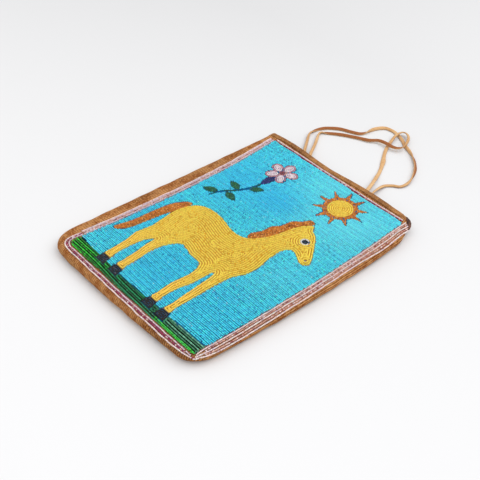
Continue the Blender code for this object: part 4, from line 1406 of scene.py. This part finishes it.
    def _join(self, sheets: list[bpy.types.Object]) -> bpy.types.Object:
        """Join the two sheets at the sides and the foot, and return the open shell."""
        select_only(sheets[0])
        sheets[1].select_set(True)
        bpy.ops.object.join()
        bpy.ops.object.mode_set(mode="EDIT")
        bpy.ops.mesh.select_all(action="SELECT")
        bpy.ops.mesh.remove_doubles(threshold=self.merge * MM)
        bpy.ops.object.mode_set(mode="OBJECT")
        face_outwards(sheets[0])
        return sheets[0]


class MouthBinding:
    """The folded strip round the mouth's edge, swept along it with a U-shaped section."""

    depth: float = 5.6
    clearance: float = 0.25
    thickness: float = 0.75
    spacing: float = 1.6
    thread_step: float = 1.3
    wave: float = 0.28
    turned: float = -0.2

    def __init__(self, pouch: SoftPouch) -> None:
        """Take the pouch whose mouth is bound."""
        self.pouch = pouch

    def rim(self) -> Array:
        """Return the closed loop of the shell's surface at the mouth, front left to right, then back."""
        plan = self.pouch.plan()[:, -1]
        ahead, behind = (np.concatenate((plan, heights[:, None]), axis=1)
                         for heights in self.pouch.heights(plan))
        closed = np.concatenate((ahead, behind[::-1][1:-1], ahead[:1]))
        return even_points(closed, self.spacing)[:-1]

    def section(self) -> list[tuple[float, float]]:
        """Return the folded section: how far off the cloth and how far out of the mouth."""
        fold = self.clearance + self.thickness * 0.5
        half = 0.5 * (CLOTH + 2.0 * fold)
        turns = [math.radians(angle) for angle in np.linspace(90.0, -90.0, 7)]
        bend = [(fold - half + half * math.sin(turn), 0.4 + half * 0.6 * math.cos(turn)) for turn in turns]
        return [(fold, -self.depth), (fold, -0.6 * self.depth), (fold + 0.15, -0.25 * self.depth), *bend,
                (-CLOTH - fold, -0.4 * self.depth), (-CLOTH - fold, -0.85 * self.depth)]

    def rings(self) -> Array:
        """Sweep the section along the rim, with a small wave in its free edges.

        Returns:
            Points, rings by section by 3.
        """
        rim = self.rim()
        along = loop_ways(rim)
        out_of_mouth = unit(np.array((0.0, 1.0, 0.0)) - along * along[:, 1:2])
        outward = np.cross(out_of_mouth, along)
        rise = rim[:, 2:] - 0.5 * POUCH_HEIGHT
        outward *= np.where(outward[:, 2:] * rise >= self.turned, 1.0, -1.0)
        wave = self.wave * ripple(np.arange(len(rim)) * self.spacing, (19.0, 31.0, 47.0), 5)[:, None]
        rings = np.stack([rim + outward * (away + 0.25 * wave)
                          + out_of_mouth * (ahead + wave * (1.0 if ahead < -1.0 else 0.4))
                          for away, ahead in self.section()], axis=1)
        rings[..., 2] = np.maximum(rings[..., 2], 0.5 * self.thickness + 0.02)
        return rings

    def build(self) -> bpy.types.Object:
        """Model the binding.

        Returns:
            The binding, closed.
        """
        rings = self.rings()
        count, width = rings.shape[:2]
        faces = []
        for start in range(0, count * width, width):
            after = (start + width) % (count * width)
            faces += [(start + j, after + j, after + j + 1, start + j + 1) for j in range(width - 1)]
        piece = mesh_piece("mouth_binding", rings.reshape(-1, 3), faces)
        self._lay_threads(piece, count, width)
        give_wall(piece, self.thickness, 0.0)
        face_outwards(piece)
        piece.data.shade_smooth()
        return piece

    def _lay_threads(self, piece: bpy.types.Object, count: int, width: int) -> None:
        """Write coordinates along the strip and across it.

        Args:
            piece: the swept strip.
            count: rings along it.
            width: points across it.
        """
        ring, step = np.divmod(corner_points(piece), width)
        wrapped = np.where((ring == 0) & (np.roll(ring, 1) == count - 1), count, ring)
        threads = np.stack((wrapped * self.spacing * MM, step * self.thread_step * MM), axis=1)
        piece.data.uv_layers.new(name="threads").data.foreach_set("uv", threads.ravel())


class WrappedEnd:
    """The dark wrapped end of the binding, bent round the mouth's right corner."""

    route: tuple[tuple[float, float, float], ...] = (
        (97.0, 150.9, 9.2), (103.6, 147.6, 8.8), (107.6, 142.6, 8.0), (108.8, 136.6, 6.6))
    spacing: float = 0.4
    radius: float = 2.6
    turns: float = 9.0
    ridge: float = 0.09
    taper: float = 0.25
    end_share: float = 0.8
    lowest: float = 0.1

    def build(self) -> bpy.types.Object:
        """Model the wrap: a bent, round-ended roll with the ridges of its turns.

        Returns:
            The roll, closed.
        """
        path = smooth_path(self.route, self.spacing)
        deselect_all()
        bpy.ops.mesh.primitive_uv_sphere_add(segments=28, ring_count=40, radius=1.0)
        knob = bpy.context.object
        knob.name = "binding_wrap"
        sphere = np.array([vert.co for vert in knob.data.vertices])
        shares = 0.5 + 0.5 * np.sin(0.5 * math.pi * sphere[:, 2])
        along = unit(np.gradient(path, axis=0))
        side = unit(np.cross(along, (0.0, 0.0, 1.0)))
        middle, ahead, across, raised = (
            sampled(line, np.arange(len(path)), shares * (len(path) - 1))
            for line in (path, along, side, np.cross(side, along)))
        round_shares = np.arctan2(sphere[:, 1], sphere[:, 0])
        ridges = 1.0 + self.ridge * np.sin(2.0 * math.pi * self.turns * shares + round_shares)
        reach = (self.radius * (1.0 - self.taper * shares ** 2) * ridges)[:, None]
        placed = middle + reach * (across * sphere[:, :1] + raised * sphere[:, 1:2]
                                   + self.end_share * ahead * sphere[:, 2:])
        placed[:, 2] = np.maximum(placed[:, 2], self.lowest)
        knob.data.vertices.foreach_set("co", to_frame(placed).ravel())
        knob.data.update()
        knob.data.shade_smooth()
        return knob


@dataclass(frozen=True)
class Thong:
    """A flat strip of hide that lies on the floor and runs into the mouth at both ends."""

    name: str
    node: str
    route: tuple[tuple[float, float, float], ...]
    twists: tuple[tuple[float, float], ...]
    wide_at: float = 0.0
    wide_by: float = 0.45
    wide_reach: float = 0.018
    width: float = 4.2
    thickness: float = 1.6
    spacing: float = 1.8
    rest_gap: float = 0.05
    resting: float = 2.2
    bevel: float = 0.3

    @staticmethod
    def _smoothed(values: Array, reach: int) -> Array:
        """Return the running mean of values over a reach to both sides."""
        count = 2 * reach + 1
        return np.convolve(np.pad(values, reach, mode="edge"), np.ones(count) / count, mode="valid")

    def centre_line(self) -> Array:
        """Return the points of the strip's centre line, raised where its tilt needs the room."""
        path = smooth_path(self.route, self.spacing)
        angles = self._angles(path)
        half = np.abs(0.5 * self.width * np.sin(angles)) + np.abs(0.5 * self.thickness * np.cos(angles))
        rest = half + self.rest_gap
        height = np.maximum(path[:, 2], rest)
        path[:, 2] = self._smoothed(np.where(height < self.resting, rest, height), 3)
        return path

    def _angles(self, path: Array) -> Array:
        """Return the strip's tilt at each point, in radians."""
        lengths = path_lengths(path)
        knots = np.array(self.twists)
        tilt = self._smoothed(np.interp(lengths / lengths[-1], knots[:, 0], knots[:, 1]), 5)
        return np.radians(tilt + 6.0 * ripple(lengths, (23.0, 41.0, 67.0), len(self.name)))

    def section(self) -> list[tuple[float, float, float]]:
        """Return the strip's section: across, up and how far round towards its raw side."""
        wide, thick = 0.5 * self.width, 0.5 * self.thickness
        inner = wide - self.bevel
        return [(-inner, thick, 0.0), (0.0, thick * 1.12, 0.0), (inner, thick, 0.0),
                (wide, 0.5 * thick, 0.05), (wide, -0.5 * thick, 0.25), (inner, -thick, 1.0),
                (0.0, -thick * 0.8, 1.0), (-inner, -thick, 1.0), (-wide, -0.5 * thick, 0.25),
                (-wide, 0.5 * thick, 0.05)]

    def build(self) -> tuple[bpy.types.Object, Array]:
        """Model the strip.

        Returns:
            The strip, closed, and its centre line in the frame.
        """
        path = self.centre_line()
        angles = self._angles(path)
        along = unit(np.gradient(path, axis=0))
        side = unit(np.cross(np.array((0.0, 0.0, 1.0)), along))
        up = np.cross(along, side)
        lengths = np.arange(len(path)) * self.spacing
        swell = 1.0 + 0.08 * ripple(lengths, (29.0, 53.0, 17.0), 30 + len(self.name))
        if self.wide_at:
            away = (lengths / lengths[-1] - self.wide_at) / self.wide_reach
            swell += self.wide_by * np.exp(-away ** 2)
        cos, sin = np.cos(angles)[:, None], np.sin(angles)[:, None]
        flat, raised = side * cos + up * sin, up * cos - side * sin
        section = self.section()
        rings = np.stack([path + flat * (across * swell)[:, None] + raised * high
                          for across, high, _ in section], axis=1)
        count, width = rings.shape[:2]
        faces = []
        for start in range(0, (count - 1) * width, width):
            for j in range(width):
                here, beside = start + j, start + (j + 1) % width
                faces.append((here, beside, beside + width, here + width))
        faces += [tuple(range(width))[::-1], tuple(range((count - 1) * width, count * width))]
        piece = mesh_piece(self.name, rings.reshape(-1, 3), faces)
        side_share = piece.data.attributes.new("raw_side", "FLOAT", "POINT")
        side_share.data.foreach_set("value", np.tile([raw for _, _, raw in section], count))
        face_outwards(piece)
        piece.data.shade_smooth()
        return piece, to_frame(path)


OUTER_ROUTE = (
    (-55.0, 138.0, 3.6), (-58.5, 146.0, 4.9), (-63.5, 154.5, 5.3), (-73.0, 166.0, 4.9), (-87.0, 184.0, 2.4),
    (-98.8, 200.3, 1.7), (-101.5, 208.7, 1.7), (-100.8, 219.7, 1.7), (-94.0, 231.0, 1.7), (-82.6, 240.9, 1.7),
    (-69.0, 246.5, 1.7), (-58.5, 252.0, 1.7), (-54.6, 261.4, 1.7), (-52.2, 276.2, 1.7), (-46.1, 286.7, 1.7),
    (-36.3, 289.4, 1.7), (-26.2, 287.8, 1.7), (-14.8, 282.9, 1.7), (-1.8, 274.0, 1.7), (10.7, 267.0, 1.7),
    (24.2, 258.1, 1.7), (37.6, 244.4, 1.7), (46.4, 229.2, 1.7), (51.5, 212.9, 1.7), (49.9, 201.6, 1.7),
    (42.7, 196.0, 1.7), (37.0, 188.0, 2.0), (37.5, 175.0, 3.4), (40.5, 161.0, 5.1), (42.5, 152.5, 5.3),
    (43.3, 145.5, 4.9), (44.0, 137.0, 3.6))
INNER_ROUTE = (
    (-44.0, 138.0, 8.4), (-48.0, 146.5, 7.2), (-52.5, 154.0, 7.0), (-62.0, 165.5, 6.2), (-72.0, 181.0, 3.6),
    (-82.5, 197.0, 1.9), (-91.5, 211.0, 1.8), (-91.5, 217.5, 1.9), (-83.8, 223.5, 2.0), (-69.5, 233.4, 2.1),
    (-53.9, 241.6, 2.2), (-39.3, 247.3, 2.7), (-29.8, 254.5, 4.0), (-17.5, 255.6, 5.2), (-7.0, 255.1, 5.2),
    (0.0, 259.0, 5.2), (0.8, 269.1, 5.2), (-5.5, 284.1, 5.2), (-14.0, 292.5, 5.2), (-21.0, 291.5, 5.2),
    (-22.3, 281.0, 5.0), (-18.5, 265.8, 2.6), (-15.0, 255.3, 1.8), (-6.9, 240.3, 1.7), (4.5, 223.6, 1.7),
    (15.2, 204.3, 1.9), (25.5, 181.0, 3.6), (33.0, 163.0, 6.6), (36.0, 154.0, 7.0), (37.0, 146.5, 7.2),
    (37.5, 137.0, 8.4))

THONGS = (
    Thong("thong_outer", "handle_outer", OUTER_ROUTE,
          ((0.0, 0.0), (0.10, 50.0), (0.18, 60.0), (0.235, 205.0), (0.38, 212.0), (0.43, 35.0), (0.50, 20.0),
           (0.60, 10.0), (0.655, 130.0), (0.74, 140.0), (0.79, 20.0), (0.88, 5.0), (0.93, 60.0), (1.0, 0.0))),
    Thong("thong_inner", "handle_inner", INNER_ROUTE,
          ((0.0, 0.0), (0.10, 55.0), (0.20, 60.0), (0.25, 208.0), (0.41, 215.0), (0.47, 200.0), (0.52, 60.0),
           (0.58, 30.0), (0.66, 20.0), (0.72, 5.0), (0.85, 0.0), (1.0, 0.0)), wide_at=0.765))


Socket = bpy.types.NodeSocket


class Graph:
    """A tree of nodes, added and linked by name."""

    def __init__(self, tree: bpy.types.NodeTree) -> None:
        """Take the tree."""
        self.tree = tree

    def add(self, kind: str, **settings: object) -> bpy.types.Node:
        """Add a node.

        Args:
            kind: its type, without the ShaderNode that starts it.
            settings: properties to set on it.

        Returns:
            The node.
        """
        node = self.tree.nodes.new("ShaderNode" + kind)
        for key, value in settings.items():
            setattr(node, key, value)
        return node

    def feed(self, node: bpy.types.Node, values: dict[str | int, object]) -> bpy.types.Node:
        """Give a node its inputs.

        Args:
            node: the node.
            values: a value, or a socket to link, for each input's name or number.

        Returns:
            The node.
        """
        for name, value in values.items():
            if isinstance(value, Socket):
                self.tree.links.new(value, node.inputs[name])
            else:
                node.inputs[name].default_value = value
        return node

    def mix(self, factor: Socket, first: object, second: object) -> Socket:
        """Return two colours mixed, each a colour or a socket, by how much of the second there is."""
        node = self.add("Mix", data_type="RGBA")
        return self.feed(node, {0: factor, 6: first, 7: second}).outputs[2]

    def ramp(self, source: Socket, low: float, high: float, to: tuple[float, float] = (0.0, 1.0)) -> Socket:
        """Return a value that runs between two ends, 0 and 1 if none are given, as the source does."""
        node = self.add("MapRange", clamp=True)
        values = {"Value": source, "From Min": low, "From Max": high, "To Min": to[0], "To Max": to[1]}
        return self.feed(node, values).outputs["Result"]

    def tint(self, under: object, tone: Tone, source: Socket, ends: tuple[float, float],
             strength: float = 1.0) -> Socket:
        """Lay a tone over a colour.

        Args:
            under: the colour, or its socket.
            tone: the tone.
            source: the value that says where it lies.
            ends: the source's values where the tone starts and where it is full.
            strength: how much of it there is where it is full.

        Returns:
            The tinted colour.
        """
        share = self.feed(self.add("Math", operation="MULTIPLY"), {0: self.ramp(source, *ends), 1: strength})
        return self.mix(share.outputs[0], under, tone.rgba)

    def noise(self, scale: float, detail: float) -> Socket:
        """Return a noise of a scale over the object's own coordinates."""
        place = self.add("TexCoord").outputs["Object"]
        node = self.feed(self.add("TexNoise"), {"Vector": place, "Scale": scale, "Detail": detail})
        return node.outputs["Fac"]

    def attribute(self, name: str) -> bpy.types.Node:
        """Return the node that reads a mesh's attribute."""
        return self.add("Attribute", attribute_name=name, attribute_type="GEOMETRY")

    def bump(self, height: Socket, distance: float, strength: float, under: Socket | None = None) -> Socket:
        """Return a normal bumped by a height, on top of another bump if one is given."""
        values = {"Height": height, "Distance": distance, "Strength": strength}
        if under is not None:
            values["Normal"] = under
        return self.feed(self.add("Bump"), values).outputs["Normal"]


class Finish(Graph):
    """The graph of a new material."""

    def __init__(self, name: str) -> None:
        """Start a material with only its shader and output."""
        self.material = bpy.data.materials.new(name)
        self.material.use_nodes = True
        super().__init__(self.material.node_tree)

    def done(self, **values: object) -> bpy.types.Material:
        """Give the shader its inputs, named with underscores for spaces, and return the material."""
        named = {name.replace("_", " "): value for name, value in values.items()}
        self.feed(self.tree.nodes["Principled BSDF"], named)
        return self.material


@dataclass(frozen=True)
class BeadGlass:
    """Opaque glass beads: each bead's own colour under a hard gloss."""

    roughness: float = 0.24
    coat: float = 0.25
    coat_roughness: float = 0.08

    def material(self, name: str) -> bpy.types.Material:
        """Return the finish of one slot's beads, made once."""
        found = bpy.data.materials.get("glass_" + name)
        if found is not None:
            return found
        graph = Finish("glass_" + name)
        colour = graph.attribute("bead_colour").outputs["Color"]
        return graph.done(Base_Color=colour, Roughness=self.roughness, Coat_Weight=self.coat,
                          Coat_Roughness=self.coat_roughness)


@dataclass(frozen=True)
class RibbedCloth:
    """Tan cloth with fine raised ribs, mottled and worn, with painted shade in the grooves between the ribs,
    and on the beaded face painted shade and bounce light between the beads.
    """

    base: Tone = Tone.CLOTH
    dark: Tone = Tone.CLOTH_DARK
    pale: Tone = Tone.CLOTH_PALE
    rib_pitch: float = 2.4
    beaded: bool = False

    def _ribs(self, graph: Graph) -> Socket:
        """Return the height of the ribs, from 0 to 1, across the cloth's threads."""
        wave = graph.add("TexWave", wave_type="BANDS", bands_direction="X", wave_profile="SIN")
        values = {"Vector": graph.add("UVMap", uv_map="threads").outputs["UV"],
                  "Scale": 0.1 * math.pi / (self.rib_pitch * MM), "Distortion": 0.9, "Detail": 2.0,
                  "Detail Scale": 0.4}
        return graph.feed(wave, values).outputs["Fac"]

    def material(self, name: str) -> bpy.types.Material:
        """Return the finish under a name."""
        graph = Finish(name)
        rib, fibre = self._ribs(graph), graph.noise(620.0, 3.0)
        body = self.base.rgba
        for tone, source, ends, strength in (
                (self.pale, graph.noise(110.0, 6.0), (0.40, 0.60), 1.0),
                (self.dark, graph.noise(17.0, 4.0), (0.48, 0.70), 0.5),
                # Darker in the grooves between the ribs: painted shade.
                (self.dark, rib, (0.6, 0.1), 0.85),
                (self.pale, fibre, (0.50, 0.68), 0.6),
                (self.dark, fibre, (0.46, 0.30), 0.5)):
            body = graph.tint(body, tone, source, ends, strength)
        if self.beaded:
            # Painted shade and bounce light between the beads, from the pouch's attribute.
            under = graph.attribute("painted_shade_under_beads")
            body = graph.mix(under.outputs["Alpha"], body, under.outputs["Color"])
        normal = graph.bump(fibre, 0.00015, 0.8, graph.bump(rib, 0.0005, 1.0))
        return graph.done(Base_Color=body, Normal=normal, Roughness=0.88, Specular_IOR_Level=0.15)


class DarkWrap:
    """Dark wrapping of the binding's end, with lighter brown patches laid by noise as painted highlights."""

    @staticmethod
    def material() -> bpy.types.Material:
        """Return the finish."""
        graph = Finish("dark_wrap")
        # Lighter brown patches over the dark wrap, laid by noise: painted highlights.
        body = graph.tint(Tone.WRAP_DARK.rgba, Tone.WRAP, graph.noise(260.0, 4.0), (0.35, 0.7))
        normal = graph.bump(graph.noise(1400.0, 2.0), 0.00012, 0.8)
        return graph.done(Base_Color=body, Normal=normal, Roughness=0.7)


class Hide:
    """Tanned hide strip: pale on its outer side, orange-brown on its raw side."""

    @staticmethod
    def material() -> bpy.types.Material:
        """Return the finish."""
        graph = Finish("hide_strip")
        grain = graph.noise(420.0, 4.0)
        outer = graph.tint(Tone.HIDE.rgba, Tone.HIDE_STAIN, graph.noise(45.0, 3.0), (0.35, 0.7))
        outer = graph.tint(outer, Tone.CLOTH, grain, (0.58, 0.72), 0.5)
        inner = graph.tint(Tone.HIDE_DARK.rgba, Tone.CLOTH, grain, (0.45, 0.85))
        body = graph.mix(graph.attribute("raw_side").outputs["Fac"], outer, inner)
        return graph.done(Base_Color=body, Normal=graph.bump(grain, 0.00012, 0.7), Roughness=0.75)


@dataclass(frozen=True)
class Studio:
    """The pale floor, the soft light and the camera that looks as the photo does."""

    azimuth: float = 49.3008
    elevation: float = 40.6876
    distance: float = 703.9
    aim: tuple[float, float, float] = (11.44, -12.13, 13.9)
    lens: float = 51.2
    sensor: float = 36.0
    clip_start: float = 0.01
    floor_size: float = 6.0
    floor_painted_shade_span: tuple[float, float] = (-0.25, 0.35)
    background: float = 0.9
    zenith_strength: float = 1.34
    horizon_strength: float = 0.42
    key_power: float = 6.5
    key_size: float = 1.3
    key_right: float = 0.8
    key_away: float = 0.05
    key_height: float = 1.0

    def directions(self) -> tuple[Array, Array]:
        """Return the way back to the camera and the way to its right."""
        turn, rise = math.radians(self.azimuth), math.radians(self.elevation)
        back = np.array((math.sin(turn) * math.cos(rise), -math.cos(turn) * math.cos(rise), math.sin(rise)))
        return back, np.array((math.cos(turn), math.sin(turn), 0.0))

    @staticmethod
    def _aimed(name: str, data: bpy.types.ID, place: Array, back: Array) -> bpy.types.Object:
        """Put a camera or lamp at a place, with its back turned a given way."""
        made = new_object(name, data)
        made.location = place
        made.rotation_mode = "QUATERNION"
        made.rotation_quaternion = Vector(back).to_track_quat("Z", "Y")
        return made

    def build_camera(self) -> None:
        """Place the camera at the photo's angle and distance."""
        back, _ = self.directions()
        data = bpy.data.cameras.new("camera")
        data.lens = self.lens
        data.sensor_width = self.sensor
        data.clip_start = self.clip_start
        place = to_frame(np.array([self.aim]))[0] + back * self.distance * MM
        bpy.context.scene.camera = self._aimed("camera", data, place, back)

    def build_floor(self) -> None:
        """Lay the pale floor, with painted shade making it a little darker far off."""
        deselect_all()
        bpy.ops.mesh.primitive_plane_add(size=self.floor_size, location=(0.0, 0.0, 0.0))
        floor = bpy.context.object
        floor.name = "studio_floor"
        graph = Finish("studio_floor")
        back, right = self.directions()
        place = graph.add("TexCoord").outputs["Object"]
        reach = graph.feed(graph.add("VectorMath", operation="DOT_PRODUCT"),
                           {0: place, 1: tuple(0.7 * right - 0.7 * back)})
        # Floor darker far off: painted shade.
        body = graph.tint(Tone.FLOOR.rgba, Tone.FLOOR_FAR, reach.outputs["Value"], self.floor_painted_shade_span)
        floor.data.materials.append(graph.done(Base_Color=body, Roughness=0.9, Specular_IOR_Level=0.1))

    def build_key(self) -> None:
        """Hang one broad key light to the right of the bag."""
        back, right = self.directions()
        away = unit(-np.array([(back[0], back[1], 0.0)]))[0]
        data = bpy.data.lights.new("key", "AREA")
        data.shape = "DISK"
        data.size = self.key_size
        data.energy = self.key_power
        place = self.key_right * right + self.key_away * away + np.array((0.0, 0.0, self.key_height))
        self._aimed("key", data, place, place)

    def build_room(self) -> None:
        """Light the bag from a pale room, brightest overhead, that the camera sees as plain white."""
        world = bpy.data.worlds.new("room")
        world.use_nodes = True
        graph = Graph(world.node_tree)
        generated = graph.add("TexCoord").outputs["Generated"]
        height = graph.feed(graph.add("SeparateXYZ"), {0: generated}).outputs["Z"]
        strength = graph.ramp(height, 0.0, 1.0, (self.horizon_strength, self.zenith_strength))
        path = graph.add("LightPath")
        seen = path.outputs["Is Camera Ray"]
        for name in ("Is Glossy Ray", "Is Transmission Ray"):
            larger = graph.add("Math", operation="MAXIMUM")
            seen = graph.feed(larger, {0: seen, 1: path.outputs[name]}).outputs[0]
        shown = graph.feed(graph.add("Mix"), {"Factor": seen, "A": strength, "B": self.background})
        graph.feed(world.node_tree.nodes["Background"],
                   {"Color": (1.0, 1.0, 1.0, 1.0), "Strength": shown.outputs["Result"]})
        bpy.context.scene.world = world
        bpy.context.scene.view_settings.view_transform = "Standard"

    def build(self) -> None:
        """Build all of the studio."""
        self.build_camera()
        self.build_floor()
        self.build_key()
        self.build_room()


def main() -> None:
    """Build the studio and every piece of the bag."""
    logging.basicConfig(level=logging.INFO, format="%(name)s %(message)s")
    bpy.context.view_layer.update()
    Studio().build()

    hide = Hide.material()
    for thong in THONGS:
        strip, path = thong.build()
        settle(strip, hide, [thong.node])

    form = PouchForm()
    pouch = SoftPouch(form)
    cloth = RibbedCloth(beaded=True).material("ribbed_cloth")
    binding_cloth = RibbedCloth(base=Tone.BINDING, rib_pitch=1.5).material("binding_cloth")
    settle(pouch.build(), cloth, ["front_panel", "back_panel"])
    binding = MouthBinding(pouch).build()
    settle(binding, binding_cloth, ["mouth_binding_front", "mouth_binding_back"])
    settle(WrappedEnd().build(), DarkWrap.material(), ["binding_end"])

    needle = Needle(form, BeadModel())
    glass = BeadGlass()
    beadwork = Beadwork(needle, glass)
    for ground in GROUNDS:
        beadwork.sew_ground(ground)
    beadwork.sew_figures()
    Border(needle, glass, Beadwork.field_outline).sew()
    LOG.info("%d beads sewn", needle.sewn)

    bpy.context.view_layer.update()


if __name__ == "__main__":
    main()
